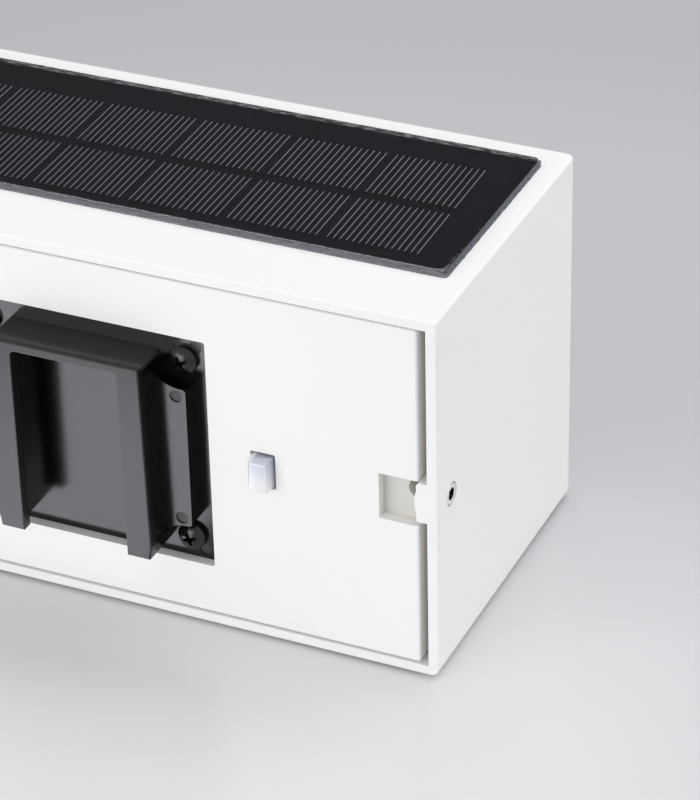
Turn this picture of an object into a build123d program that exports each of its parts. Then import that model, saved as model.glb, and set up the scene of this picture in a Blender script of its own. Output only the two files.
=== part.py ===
from build123d import *
import os

os.makedirs("parts", exist_ok=True)

# A solar fence light, made the way it comes apart on a bench: a cast aluminium housing with the solar
# panel and the diffuser in it, and a module that slides in from the back with the hanger, button, battery
# and light.
# Frame: X along the light, Y from the fence outwards, Z up. The light stands on Z = 0, and the origin is
# under the middle of its whole box, from the hanger's face to the front.
# "Depth" is the distance in from the back rim.

# ---------------------------------------- driving sizes, mm
housing_length = 150.0
housing_depth = 72.0
housing_height = 80.0
wall = 2.1  # cast wall of the housing
fixing_drop = 0.65  # hanger, button and set screws sit this far below mid height

cover_side_gap = 1.8  # cover's edge to the end wall
cover_top_gap = 0.5
cover_bottom_gap = 0.3
cover_inset = 0.15  # cover's face behind the rim
cover_thickness = 2.5
skirt_wall = 2.0
skirt_end_depth = 12.0

pocket_width = 54.0  # sunk pocket for the hanger
pocket_height = 51.5
hanger_seat_depth = 2.15  # hanger's flange face behind the rim
flange_thickness = 2.5
hanger_height = 9.45  # hanger's frame above its flange
moulded_wall = 2.0  # walls of the cover's pocket, notch and chassis

button_travel = 1.5
fit_gap = 0.2  # a loose part in its pocket, each side
screw_clearance = 0.05  # radial, a screw in its pilot or thread
through_clearance = 0.2  # radial, a screw in a through hole
slot_corner = 1.0  # corner radius of small slots and of boards' ends

# ---------------------------------------- places that follow from them
hanger_reach = hanger_height - hanger_seat_depth
rim_y = -(housing_depth - hanger_reach) / 2
half_length = housing_length / 2
inner_half = half_length - wall
cavity_top = housing_height - wall
cavity_mid = housing_height / 2
centre_z = cavity_mid - fixing_drop
cover_half = inner_half - cover_side_gap
cover_top = cavity_top - cover_top_gap
cover_bottom = wall + cover_bottom_gap
cover_mid = (cover_top + cover_bottom) / 2
cover_back_depth = cover_inset + cover_thickness
pocket_depth = hanger_seat_depth + flange_thickness
pocket_back_depth = pocket_depth + moulded_wall


def back_plane(depth):
    """Sketch plane parallel to the back rim. Extruding by a negative amount goes into the housing."""
    return Plane.XZ.offset(-(rim_y + depth))


def level(z):
    """Level sketch plane at height z."""
    return Plane.XY.offset(z)


def place_y(depth):
    """Y of a depth behind the back rim."""
    return rim_y + depth


def save(part, name):
    """Label a finished piece and write it out."""
    part.label = name
    export_step(part, f"parts/{name}.step")


# ---------------------------------------- set screws in the end walls
set_screw_radius = 2.45  # M5
set_screw_depth = 7.1
set_screw_drop = 0.85  # below the cover's middle line
set_screw_inset = 0.05  # outer end below the end wall's face
set_screw_tip_gap = 0.05
set_screw_hex = 2.5  # across flats
set_screw_hex_depth = 2.6
set_screw_bevel = 0.5

boss_depth = 10.5  # housing boss round the set screw, from the rim inwards
boss_height = 8.8
boss_reach = 2.25  # past the end wall's inner face
boss_crown = 0.4  # bulge in the middle of the boss's end
boss_corner = 0.6
boss_rise = 0.45  # its middle above the cover's middle line
set_screw_z = centre_z - set_screw_drop
boss_z = centre_z + boss_rise
boss_end = inner_half - boss_reach

notch_width = 8.25  # pull notch in the cover's end
notch_height = 10.2
notch_depth = 2.7
channel_gap = 0.35  # from the boss's crown to the face that the set screw presses on
notch_relief_inset = 0.7  # round relief in the notch's floor, from the cover's end
notch_relief_rise = 1.85
notch_relief_depth = 9.0
notch_relief_radius = 2.35
notch_relief_x = cover_half - notch_relief_inset
notch_relief_z = centre_z + notch_relief_rise
channel_face = boss_end - boss_crown - channel_gap
notch_inner_x = cover_half - notch_width

# ---------------------------------------- housing: cast aluminium, open at the back
front_corner_radius = 2.0
bottom_edge_radius = 1.8
top_edge_radius = 0.6
rim_edge_radius = 0.3

panel_length = 140.0
panel_width = 49.0
panel_back_margin = 16.6  # panel's near edge behind the rim
panel_front_corner = 1.4  # corner radii of the panel
panel_back_corner = 0.5
panel_proud = 1.3  # panel's top above the housing's top face
panel_recess = 1.1
panel_bead = 0.45  # clear bead between panel and recess
recess_floor = 1.6
recess_margin = 3.0
panel_y = place_y(panel_back_margin + panel_width / 2)
panel_base_z = housing_height - panel_recess
recess_pad_z = panel_base_z - recess_floor

ledge_thickness = 2.0  # stop for the module, all round inside the housing
ledge_side_height = 4.0
ledge_height = 3.0
gasket_thickness = 1.5
ledge_depth = skirt_end_depth + gasket_thickness

window_side_margin = 13.0  # light window in the lower face, from the end walls' inner faces
window_back_depth = 19.0
window_front_depth = 60.0
window_corner_radius = 3.0
window_length = 2 * (inner_half - window_side_margin)
window_width = window_front_depth - window_back_depth
window_y = place_y((window_back_depth + window_front_depth) / 2)

lead_hole_inset = 27.0  # its middle from the light's end
lead_hole_depth = 29.0
lead_hole_length = 12.0
lead_hole_width = 8.0
lead_hole_x = half_length - lead_hole_inset


def panel_outline(margin):
    """Outline of the solar panel, grown by a margin: rounder at the front corners than at the back."""
    with BuildSketch() as outline:
        with Locations((0, panel_y)):
            Rectangle(panel_length + 2 * margin, panel_width + 2 * margin)
        corners = outline.vertices().group_by(Axis.Y)
        fillet(corners[-1], panel_front_corner + margin)
        corners = outline.vertices().group_by(Axis.Y)
        fillet(corners[0], panel_back_corner + margin)
    return outline.sketch


panel_shape = panel_outline(0)
recess_shape = panel_outline(panel_bead)

with BuildPart() as housing:
    with BuildSketch(back_plane(0)):
        with Locations((0, cavity_mid)):
            Rectangle(housing_length, housing_height)
    extrude(amount=-housing_depth)
    fillet(housing.edges().filter_by(Axis.Z).group_by(Axis.Y)[-1], front_corner_radius)
    fillet(housing.faces().sort_by(Axis.Z)[-1].edges().group_by(Axis.Y)[1:], top_edge_radius)
    fillet(housing.faces().sort_by(Axis.Z)[0].edges().group_by(Axis.Y)[1:], bottom_edge_radius)
    # the cavity that the module slides into
    with BuildSketch(back_plane(0)):
        with Locations((0, cavity_mid)):
            Rectangle(2 * inner_half, housing_height - 2 * wall)
    extrude(amount=-(housing_depth - wall), mode=Mode.SUBTRACT)
    fillet(housing.faces().sort_by(Axis.Y)[0].outer_wire().edges(), rim_edge_radius)
    # the ledge that stops the module
    with BuildSketch(back_plane(ledge_depth)):
        with Locations((0, cavity_mid)):
            Rectangle(2 * inner_half, housing_height - 2 * wall)
            Rectangle(
                2 * (inner_half - ledge_side_height),
                housing_height - 2 * wall - 2 * ledge_height,
                mode=Mode.SUBTRACT,
            )
    extrude(amount=-ledge_thickness)
    # thicker top wall under the solar panel
    with BuildSketch(level(recess_pad_z)):
        with Locations((0, panel_y)):
            Rectangle(panel_length, panel_width + 2 * recess_margin)
    extrude(amount=cavity_top - recess_pad_z)
    # bosses for the set screws, bulged where the thread runs
    with BuildSketch(back_plane(0)):
        with BuildLine():
            upper = boss_z + boss_height / 2
            lower = boss_z - boss_height / 2
            crown_top = boss_z + set_screw_radius
            crown_bottom = boss_z - set_screw_radius
            Polyline(
                (boss_end, crown_bottom),
                (boss_end, lower),
                (inner_half, lower),
                (inner_half, upper),
                (boss_end + boss_corner, upper),
                (boss_end, upper - boss_corner),
                (boss_end, crown_top),
            )
            ThreePointArc(
                (boss_end, crown_top), (boss_end - boss_crown, boss_z), (boss_end, crown_bottom)
            )
        make_face()
        mirror(about=Plane.YZ)
    extrude(amount=-boss_depth)
    # threads of the set screws, through both end walls
    with BuildSketch(Plane.YZ):
        with Locations((place_y(set_screw_depth), set_screw_z)):
            Circle(set_screw_radius + screw_clearance)
    extrude(amount=half_length, both=True, mode=Mode.SUBTRACT)
    # recess for the solar panel, and the hole for its leads
    with BuildSketch(level(housing_height)):
        add(recess_shape)
    extrude(amount=-panel_recess, mode=Mode.SUBTRACT)
    with BuildSketch(level(panel_base_z)):
        with Locations((lead_hole_x, place_y(lead_hole_depth))):
            RectangleRounded(lead_hole_length, lead_hole_width, slot_corner)
    extrude(amount=-recess_floor, mode=Mode.SUBTRACT)
    # light window in the lower face
    with BuildSketch(level(0)):
        with Locations((0, window_y)):
            RectangleRounded(window_length, window_width, window_corner_radius)
    extrude(amount=wall, mode=Mode.SUBTRACT)
save(housing.part, "housing")

set_screw_outer_x = half_length - set_screw_inset
set_screw_tip_x = channel_face + set_screw_tip_gap
with BuildPart() as set_screw_right:
    with BuildSketch(Plane.YZ.offset(set_screw_tip_x)):
        with Locations((place_y(set_screw_depth), set_screw_z)):
            Circle(set_screw_radius)
    extrude(amount=set_screw_outer_x - set_screw_tip_x)
    chamfer(set_screw_right.faces().sort_by(Axis.X)[0].edges(), set_screw_bevel)
    chamfer(set_screw_right.faces().sort_by(Axis.X)[-1].edges(), set_screw_bevel / 2)
    with BuildSketch(Plane.YZ.offset(set_screw_outer_x)):
        with Locations((place_y(set_screw_depth), set_screw_z)):
            RegularPolygon(set_screw_hex / 2, 6, major_radius=False)
    extrude(amount=-set_screw_hex_depth, mode=Mode.SUBTRACT)
save(set_screw_right.part, "set_screw_right")

with BuildPart() as set_screw_left:
    add(mirror(set_screw_right.part, about=Plane.YZ, mode=Mode.PRIVATE))
save(set_screw_left.part, "set_screw_left")

# ---------------------------------------- solar panel, laid in the housing's top
panel_board_thickness = 1.0
cell_thickness = 0.2
cell_length = 20.2
cell_width = 17.4
cell_columns = 6
cell_rows = 2
cell_pitch_x = 21.0
cell_pitch_y = 19.3
cell_group_shift = -2.7  # the cells lie nearer the back than the front
cell_skew = 1.1  # degrees, the cells lie a little out of square
cell_pocket_gap = 0.05
panel_bevel = 0.15
bead_rise = 0.25  # clear bead above the housing's top face
panel_board_top = panel_base_z + panel_board_thickness
panel_top = housing_height + panel_proud
cell_group = Location((0, panel_y + cell_group_shift, 0), (0, 0, cell_skew))

with BuildPart() as panel_board:
    with BuildSketch(level(panel_base_z)):
        add(panel_shape)
    extrude(amount=panel_board_thickness)
save(panel_board.part, "panel_board")

with BuildPart() as solar_cells:
    with BuildSketch(level(panel_board_top)):
        with Locations(cell_group):
            with GridLocations(cell_pitch_x, cell_pitch_y, cell_columns, cell_rows):
                Rectangle(cell_length, cell_width)
    extrude(amount=cell_thickness)
save(solar_cells.part, "solar_cells")

with BuildPart() as panel_glass:
    with BuildSketch(level(panel_board_top)):
        add(panel_shape)
    extrude(amount=panel_top - panel_board_top)
    chamfer(panel_glass.faces().sort_by(Axis.Z)[-1].edges(), panel_bevel)
    with BuildSketch(level(panel_board_top)):
        with Locations(cell_group):
            with GridLocations(cell_pitch_x, cell_pitch_y, cell_columns, cell_rows):
                Rectangle(cell_length + 2 * cell_pocket_gap, cell_width + 2 * cell_pocket_gap)
    extrude(amount=cell_thickness + cell_pocket_gap, mode=Mode.SUBTRACT)
save(panel_glass.part, "panel_glass")

with BuildPart() as panel_seal:
    with BuildSketch(level(panel_base_z)):
        add(recess_shape)
        add(panel_shape, mode=Mode.SUBTRACT)
    extrude(amount=panel_recess + bead_rise)
save(panel_seal.part, "panel_seal")

# ---------------------------------------- diffuser in the lower face
diffuser_overlap = 3.0  # rests this far over the window's edge, inside
diffuser_plate = 1.8
diffuser_gasket_thickness = 0.4
diffuser_recess = 0.8  # its lower face above the standing face
diffuser_edge_radius = 0.4
diffuser_gasket_top = wall + diffuser_gasket_thickness
diffuser_top = diffuser_gasket_top + diffuser_plate

with BuildPart() as diffuser_gasket:
    with BuildSketch(level(wall)):
        with Locations((0, window_y)):
            Rectangle(window_length + 2 * diffuser_overlap, window_width + 2 * diffuser_overlap)
            RectangleRounded(window_length, window_width, window_corner_radius, mode=Mode.SUBTRACT)
    extrude(amount=diffuser_gasket_thickness)
save(diffuser_gasket.part, "diffuser_gasket")

with BuildPart() as diffuser:
    with BuildSketch(level(diffuser_gasket_top)):
        with Locations((0, window_y)):
            Rectangle(window_length + 2 * diffuser_overlap, window_width + 2 * diffuser_overlap)
    extrude(amount=diffuser_plate)
    with BuildSketch(level(diffuser_recess)):
        with Locations((0, window_y)):
            RectangleRounded(
                window_length - 2 * fit_gap, window_width - 2 * fit_gap, window_corner_radius - fit_gap
            )
    extrude(amount=diffuser_gasket_top - diffuser_recess)
    fillet(diffuser.faces().sort_by(Axis.Z)[0].edges(), diffuser_edge_radius)
save(diffuser.part, "diffuser")

# ---------------------------------------- hanger: black moulding, slips over a wall plate
hanger_drop = 0.25  # the hanger sits low in its pocket
hanger_z = centre_z - hanger_drop
flange_fit = 0.35  # flange in its pocket, each side
flange_corner = 0.5
hanger_half_top = 16.25  # frame's half width, wider lower down
hanger_half_bottom = 17.0
hanger_inner_half = 11.55
hanger_top_rise = 21.55  # above the hanger's middle
hanger_bottom_drop = 22.0
hanger_top_wall = 1.9
hanger_lip = 2.5  # front lip that hooks behind the wall plate's edges
hanger_undercut = 2.1
lead_in_height = 2.8  # chamfer on the frame's lower outer corners
lead_in_width = 0.45
frame_edge_radius = 0.35  # outer corners of the frame
frame_face_radius = 0.3  # edge of its front face
frame_corner_radius = 0.9  # inner corners of the frame

bar_outer_x = 23.5
bar_height = 4.1
bar_end_margin = 2.0
bar_corner_radius = 0.8
bar_relief_radius = 7.5  # round cut in the bars' ends, clear of the screw heads
bar_relief_shift_x = 0.8  # its centre from the screw's
bar_relief_shift_z = 2.95

hanger_screw_x = 21.6
hanger_screw_rise = 20.3
hanger_screw_radius = 1.45  # M3 thread
hanger_screw_length = 8.0
hanger_head_radius = 3.0
hanger_head_height = 2.4
mark_radius = 1.35  # ejector marks
mark_depth = 0.25
bar_mark_x = 21.4
bar_mark_rise = 14.0
flange_mark_x = 24.05
flange_mark_rise = 23.25

hanger_screw_points = [
    (side * hanger_screw_x, hanger_z + end * hanger_screw_rise) for side in (-1, 1) for end in (-1, 1)
]
bar_relief_points = [
    (
        side * (hanger_screw_x + bar_relief_shift_x),
        hanger_z + end * (hanger_screw_rise + bar_relief_shift_z),
    )
    for side in (-1, 1)
    for end in (-1, 1)
]

with BuildPart() as hanger:
    with BuildSketch(back_plane(pocket_depth)):
        with Locations((0, hanger_z)):
            RectangleRounded(
                pocket_width - 2 * flange_fit, pocket_height - 2 * flange_fit, flange_corner
            )
    extrude(amount=flange_thickness)
    # the bars beside the frame, cut round the screw heads
    with BuildSketch(back_plane(hanger_seat_depth)) as bars:
        with Locations((0, hanger_z)):
            Rectangle(2 * bar_outer_x, 2 * (hanger_screw_rise - bar_end_margin))
        with Locations(*bar_relief_points):
            Circle(bar_relief_radius, mode=Mode.SUBTRACT)
        bar_corners = bars.vertices().filter_by(lambda v: abs(abs(v.X) - bar_outer_x) < 0.01)
        fillet(bar_corners, bar_corner_radius)
        with Locations((0, hanger_z)):
            Rectangle(2 * hanger_inner_half, pocket_height, mode=Mode.SUBTRACT)
    extrude(amount=bar_height)
    # the frame, open at its lower end
    with BuildSketch(back_plane(hanger_seat_depth)) as frame:
        with BuildLine():
            top = hanger_z + hanger_top_rise
            bottom = hanger_z - hanger_bottom_drop
            Polyline(
                (0, top),
                (hanger_half_top, top),
                (hanger_half_bottom, bottom + lead_in_height),
                (hanger_half_bottom - lead_in_width, bottom),
                (hanger_inner_half, bottom),
                (hanger_inner_half, top - hanger_top_wall),
                (0, top - hanger_top_wall),
                close=True,
            )
        make_face()
        mirror(about=Plane.YZ)
        window_corners = frame.vertices().filter_by(
            lambda v: abs(v.Y - top + hanger_top_wall) < 0.01 and abs(v.X) > 1
        )
        fillet(window_corners, frame_corner_radius)
        outer_corners = frame.vertices().filter_by(lambda v: abs(v.Y - top) < 0.01 and abs(v.X) > 1)
        fillet(outer_corners, frame_edge_radius)
    extrude(amount=hanger_height)
    fillet(
        hanger.faces().sort_by(Axis.Y)[0].outer_wire().edges().filter_by(Axis.Y, reverse=True),
        frame_face_radius,
    )
    # undercut behind the lip, for the wall plate's edges
    with BuildSketch(back_plane(hanger_seat_depth)):
        with Locations((0, bottom)):
            Rectangle(
                2 * (hanger_inner_half + hanger_undercut),
                hanger_top_rise + hanger_bottom_drop - hanger_top_wall,
                align=(Align.CENTER, Align.MIN),
            )
    extrude(amount=hanger_height - hanger_lip, mode=Mode.SUBTRACT)
    # screw holes
    with BuildSketch(back_plane(pocket_depth)):
        with Locations(*hanger_screw_points):
            Circle(hanger_screw_radius + through_clearance)
    extrude(amount=flange_thickness, mode=Mode.SUBTRACT)
    # ejector marks on the bars and on the flange's corners
    with BuildSketch(back_plane(hanger_seat_depth - bar_height)):
        with Locations((0, hanger_z)):
            with GridLocations(2 * bar_mark_x, 2 * bar_mark_rise, 2, 2):
                Circle(mark_radius)
    extrude(amount=-mark_depth, mode=Mode.SUBTRACT)
    with BuildSketch(back_plane(hanger_seat_depth)):
        with Locations((0, hanger_z)):
            with GridLocations(2 * flange_mark_x, 2 * flange_mark_rise, 2, 2):
                Circle(mark_radius)
    extrude(amount=-mark_depth, mode=Mode.SUBTRACT)
save(hanger.part, "hanger")


def pan_head_screw(head_radius, head_height, shank_radius, shank_length):
    """Cross-recessed pan-head screw with its head's seat on Z = 0 and its shank down along -Z."""
    shoulder = 0.4 * head_height
    cross_width = 0.28 * head_radius
    cross_span = 1.16 * head_radius
    cross_depth = 0.6 * head_height
    tip_bevel = 0.3 * shank_radius
    with BuildPart() as screw:
        with BuildSketch(Plane.XZ):
            with BuildLine():
                dome = head_height - shoulder
                dome_radius = (head_radius**2 + dome**2) / (2 * dome)
                half_way = head_radius / 2
                dome_centre = head_height - dome_radius
                Polyline(
                    (0, head_height),
                    (0, -shank_length),
                    (shank_radius - tip_bevel, -shank_length),
                    (shank_radius, tip_bevel - shank_length),
                    (shank_radius, 0),
                    (head_radius, 0),
                    (head_radius, shoulder),
                )
                ThreePointArc(
                    (head_radius, shoulder),
                    (half_way, dome_centre + (dome_radius**2 - half_way**2) ** 0.5),
                    (0, head_height),
                )
            make_face()
        revolve(axis=Axis.Z)
        with BuildSketch(level(head_height)):
            Rectangle(cross_width, cross_span)
            Rectangle(cross_span, cross_width)
        extrude(amount=-cross_depth, mode=Mode.SUBTRACT)
    return screw.part


hanger_screw_shape = pan_head_screw(
    hanger_head_radius, hanger_head_height, hanger_screw_radius, hanger_screw_length
)
with BuildPart() as hanger_screws:
    with Locations(back_plane(hanger_seat_depth)):
        with Locations(*hanger_screw_points):
            add(hanger_screw_shape)
save(hanger_screws.part, "hanger_screws")

# ---------------------------------------- control board and its switch
board_pocket_gap = 1.2  # to the wall of the hanger's pocket
board_end_gap = 3.6  # to the thick skirt at the set screw
board_drop = 6.9  # its lower edge below the cover's middle line
board_skirt_gap = 3.05  # its upper edge to the skirt
bearing_wall = 2.5  # thicker skirt where the set screw presses
board_depth = 10.4  # its back face
board_thickness = 1.6
board_hole_inset = 2.6
board_screw_radius = 0.95
board_screw_length = 6.0
board_head_radius = 1.9
board_head_height = 1.4
board_boss_radius = 2.3
board_front_depth = board_depth + board_thickness
bearing_inner_x = channel_face - bearing_wall
board_left_x = pocket_width / 2 + moulded_wall + board_pocket_gap
board_right_x = bearing_inner_x - board_end_gap
board_bottom_z = centre_z - board_drop
board_top_z = cover_top - skirt_wall - board_skirt_gap
board_mid = ((board_left_x + board_right_x) / 2, (board_bottom_z + board_top_z) / 2)
board_hole_pitch_x = board_right_x - board_left_x - 2 * board_hole_inset
board_hole_pitch_z = board_top_z - board_bottom_z - 2 * board_hole_inset

button_x = 38.5
button_drop = 0.2  # below the cover's middle line
button_width = 4.3
button_tall = 6.8
button_proud = 2.7  # stands out of the rim plane at rest
button_radius = 0.45
button_face_radius = 0.35
button_hole_width = 5.3
button_hole_tall = 7.9
button_hole_corner = 0.4
collar_width = 5.8
collar_tall = 9.0
collar_gap = 0.1  # collar to the cover's inner face, at rest
collar_thickness = 1.3
plunger_radius = 1.7
plunger_rest = 0.6  # what stays out of the switch when the button is pressed in
plunger_guide = 1.4  # length inside the switch at rest
switch_size = 6.2
plunger_clearance = 0.06
plunger_end_gap = 0.2  # left behind the plunger, pressed right in
switch_corner = 0.4
button_z = centre_z - button_drop
collar_end_depth = cover_back_depth + collar_gap + collar_thickness
switch_face_depth = collar_end_depth + button_travel + plunger_rest

# ---------------------------------------- back cover: white moulding on the open back
cover_corner_radius = 0.6
cover_edge_radius = 0.55  # edge of its back face
pocket_corner = 0.6
block_inset = 0.5  # thick parts inside the skirt stop short of the cover's ends
notch_wall = 1.5
hanger_boss_radius = 3.4
hanger_boss_depth = 11.5
chassis_boss_radius = 3.0
chassis_screw_radius = 1.2
chassis_screw_length = 7.0
chassis_head_radius = 2.4
chassis_head_height = 1.8
chassis_screw_drop = 13.5  # below the cover's middle line
chassis_screw_inner_x = 13.0
chassis_screw_end_inset = 14.0  # outer ones, from the tray's ends
chassis_depth = 13.8  # chassis's rear wall, behind the skirt's end
tray_end_gap = 6.9  # tray's end to the housing's ledge
pilot_end = 0.5  # pilot holes run this far past the screws
cover_height = cover_top - cover_bottom
tray_half = inner_half - ledge_side_height - tray_end_gap
chassis_screw_outer_x = tray_half - chassis_screw_end_inset
chassis_screw_z = centre_z - chassis_screw_drop
chassis_screw_points = [
    (side * x, chassis_screw_z) for x in (chassis_screw_inner_x, chassis_screw_outer_x) for side in (-1, 1)
]

with BuildPart() as back_cover:
    with BuildSketch(back_plane(cover_inset)):
        with Locations((0, cover_mid)):
            RectangleRounded(2 * cover_half, cover_height, cover_corner_radius)
    extrude(amount=-cover_thickness)
    fillet(back_cover.faces().sort_by(Axis.Y)[0].edges(), cover_edge_radius)
    # the skirt that slides into the housing
    with BuildSketch(back_plane(cover_back_depth)):
        with Locations((0, cover_mid)):
            RectangleRounded(2 * cover_half, cover_height, cover_corner_radius)
            Rectangle(
                2 * (cover_half - skirt_wall), cover_height - 2 * skirt_wall, mode=Mode.SUBTRACT
            )
    extrude(amount=-(skirt_end_depth - cover_back_depth))
    # solid behind the hanger's pocket, and the bosses that its screws bite into
    with BuildSketch(back_plane(cover_back_depth)):
        with Locations((0, centre_z)):
            Rectangle(pocket_width + 2 * moulded_wall, pocket_height + 2 * moulded_wall)
    extrude(amount=-(pocket_back_depth - cover_back_depth))
    with BuildSketch(back_plane(pocket_depth)):
        with Locations(*hanger_screw_points):
            Circle(hanger_boss_radius)
    extrude(amount=-(hanger_boss_depth - pocket_depth))
    # solid behind the pull notches, down to the set screws' bearing faces
    with BuildSketch(back_plane(cover_back_depth)):
        with Locations((0, centre_z)):
            Rectangle(2 * (cover_half - block_inset), notch_height + 2 * notch_wall)
            Rectangle(
                2 * (notch_inner_x - notch_wall), notch_height + 2 * notch_wall, mode=Mode.SUBTRACT
            )
    extrude(amount=-(notch_depth + notch_wall - cover_back_depth))
    with BuildSketch(back_plane(cover_back_depth)):
        with Locations((0, centre_z)):
            Rectangle(2 * (cover_half - block_inset), notch_height + 2 * notch_wall)
            Rectangle(2 * bearing_inner_x, notch_height + 2 * notch_wall, mode=Mode.SUBTRACT)
    extrude(amount=-(skirt_end_depth - cover_back_depth))
    # bosses for the control board and for the chassis
    with BuildSketch(back_plane(cover_back_depth)):
        with Locations(board_mid):
            with GridLocations(board_hole_pitch_x, board_hole_pitch_z, 2, 2):
                Circle(board_boss_radius)
    extrude(amount=-(board_depth - cover_back_depth))
    with BuildSketch(back_plane(cover_back_depth)):
        with Locations(*chassis_screw_points):
            Circle(chassis_boss_radius)
    extrude(amount=-(chassis_depth - cover_back_depth))
    # the pocket, the notches and the channels that let the housing's bosses pass
    with BuildSketch(back_plane(0)):
        with Locations((0, centre_z)):
            RectangleRounded(pocket_width, pocket_height, pocket_corner)
    extrude(amount=-pocket_depth, mode=Mode.SUBTRACT)
    with BuildSketch(back_plane(0)):
        with Locations((0, centre_z)):
            Rectangle(housing_length, notch_height)
            Rectangle(2 * notch_inner_x, notch_height, mode=Mode.SUBTRACT)
    extrude(amount=-notch_depth, mode=Mode.SUBTRACT)
    with BuildSketch(back_plane(0)):
        with Locations((0, centre_z)):
            Rectangle(housing_length, notch_height)
            Rectangle(2 * channel_face, notch_height, mode=Mode.SUBTRACT)
    extrude(amount=-skirt_end_depth, mode=Mode.SUBTRACT)
    # round reliefs in the notches' floors
    with BuildSketch(back_plane(notch_depth)):
        with Locations((notch_relief_x, notch_relief_z), (-notch_relief_x, notch_relief_z)):
            Circle(notch_relief_radius)
    extrude(amount=notch_depth - notch_relief_depth, mode=Mode.SUBTRACT)
    # button hole
    with BuildSketch(back_plane(0)):
        with Locations((button_x, button_z)):
            RectangleRounded(button_hole_width, button_hole_tall, button_hole_corner)
    extrude(amount=-cover_back_depth, mode=Mode.SUBTRACT)
    # pilot holes for the hanger's, the board's and the chassis's screws
    with BuildSketch(back_plane(pocket_depth)):
        with Locations(*hanger_screw_points):
            Circle(hanger_screw_radius + screw_clearance)
    extrude(amount=-(hanger_screw_length - flange_thickness + pilot_end), mode=Mode.SUBTRACT)
    with BuildSketch(back_plane(board_depth)):
        with Locations(board_mid):
            with GridLocations(board_hole_pitch_x, board_hole_pitch_z, 2, 2):
                Circle(board_screw_radius + screw_clearance)
    extrude(amount=board_screw_length - board_thickness + pilot_end, mode=Mode.SUBTRACT)
    with BuildSketch(back_plane(chassis_depth)):
        with Locations(*chassis_screw_points):
            Circle(chassis_screw_radius + screw_clearance)
    extrude(amount=chassis_screw_length - moulded_wall + pilot_end, mode=Mode.SUBTRACT)
save(back_cover.part, "back_cover")

# foam ring on the skirt's end, squeezed against the housing's ledge
gasket_inset = 0.2
with BuildPart() as cover_gasket:
    with BuildSketch(back_plane(skirt_end_depth)):
        with Locations((0, cover_mid)):
            Rectangle(2 * (cover_half - gasket_inset), cover_height - 2 * gasket_inset)
            Rectangle(
                2 * (cover_half - skirt_wall), cover_height - 2 * skirt_wall, mode=Mode.SUBTRACT
            )
        with Locations((0, centre_z)):
            Rectangle(2 * (channel_face - gasket_inset), notch_height + 2 * notch_wall)
            Rectangle(2 * (channel_face - skirt_wall), notch_height + 2 * notch_wall, mode=Mode.SUBTRACT)
        with Locations((cover_half, centre_z), (-cover_half, centre_z)):
            Rectangle(
                2 * (cover_half - channel_face + gasket_inset), notch_height, mode=Mode.SUBTRACT
            )
    extrude(amount=-gasket_thickness)
save(cover_gasket.part, "cover_gasket")

# ---------------------------------------- push button, switch and control board
with BuildPart() as push_button:
    with BuildSketch(back_plane(collar_end_depth)):
        with Locations((button_x, button_z)):
            RectangleRounded(button_width, button_tall, button_radius)
    extrude(amount=collar_end_depth + button_proud)
    fillet(push_button.faces().sort_by(Axis.Y)[0].edges(), button_face_radius)
    with BuildSketch(back_plane(collar_end_depth)):
        with Locations((button_x, button_z)):
            Rectangle(collar_width, collar_tall)
    extrude(amount=collar_thickness)
save(push_button.part, "push_button")

with BuildPart() as switch_plunger:
    with BuildSketch(back_plane(collar_end_depth)):
        with Locations((button_x, button_z)):
            Circle(plunger_radius)
    extrude(amount=-(switch_face_depth - collar_end_depth + plunger_guide))
save(switch_plunger.part, "switch_plunger")

with BuildPart() as switch_body:
    with BuildSketch(back_plane(board_depth)):
        with Locations((button_x, button_z)):
            RectangleRounded(switch_size, switch_size, switch_corner)
    extrude(amount=board_depth - switch_face_depth)
    with BuildSketch(back_plane(switch_face_depth)):
        with Locations((button_x, button_z)):
            Circle(plunger_radius + plunger_clearance)
    extrude(amount=-(plunger_guide + button_travel + plunger_end_gap), mode=Mode.SUBTRACT)
save(switch_body.part, "switch_body")

with BuildPart() as control_board:
    with BuildSketch(back_plane(board_depth)):
        with Locations(board_mid):
            RectangleRounded(board_right_x - board_left_x, board_top_z - board_bottom_z, slot_corner)
            with GridLocations(board_hole_pitch_x, board_hole_pitch_z, 2, 2):
                Circle(board_screw_radius + through_clearance, mode=Mode.SUBTRACT)
    extrude(amount=-board_thickness)
save(control_board.part, "control_board")


def front_plane(depth):
    """Sketch plane that looks into the housing, towards the front: its X runs the other way."""
    return Plane(origin=(0, place_y(depth), 0), x_dir=(-1, 0, 0), z_dir=(0, 1, 0))


board_screw_shape = pan_head_screw(
    board_head_radius, board_head_height, board_screw_radius, board_screw_length
)
with BuildPart() as control_board_screws:
    with Locations(front_plane(board_front_depth)):
        with Locations((-board_mid[0], board_mid[1])):
            with GridLocations(board_hole_pitch_x, board_hole_pitch_z, 2, 2):
                add(board_screw_shape)
save(control_board_screws.part, "control_board_screws")

# what is soldered to the board's front face
chip_from_left = 14.8  # middles of the parts, from the board's edges
chip_from_bottom = 13.0
inductor_from_left = 5.8
inductor_from_bottom = 22.0
capacitor_from_right = 6.3
capacitor_from_bottom = 22.5
chip_length = 5.0
chip_width = 4.0
chip_height = 1.6
chip_bevel = 0.25
chip_leg_length = 1.6
chip_leg_reach = 0.6  # its middle past the chip's side
chip_legs = 4  # on each side
inductor_size = 6.0
inductor_height = 3.0
inductor_corner = 0.8
inductor_bevel = 0.4
capacitor_radius = 3.15
capacitor_height = 7.0
capacitor_edge_radius = 0.5
leg_thickness = 0.4
chip_x = board_left_x + chip_from_left
chip_z = board_bottom_z + chip_from_bottom
inductor_x = board_left_x + inductor_from_left
inductor_z = board_bottom_z + inductor_from_bottom
capacitor_x = board_right_x - capacitor_from_right
capacitor_z = board_bottom_z + capacitor_from_bottom

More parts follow.
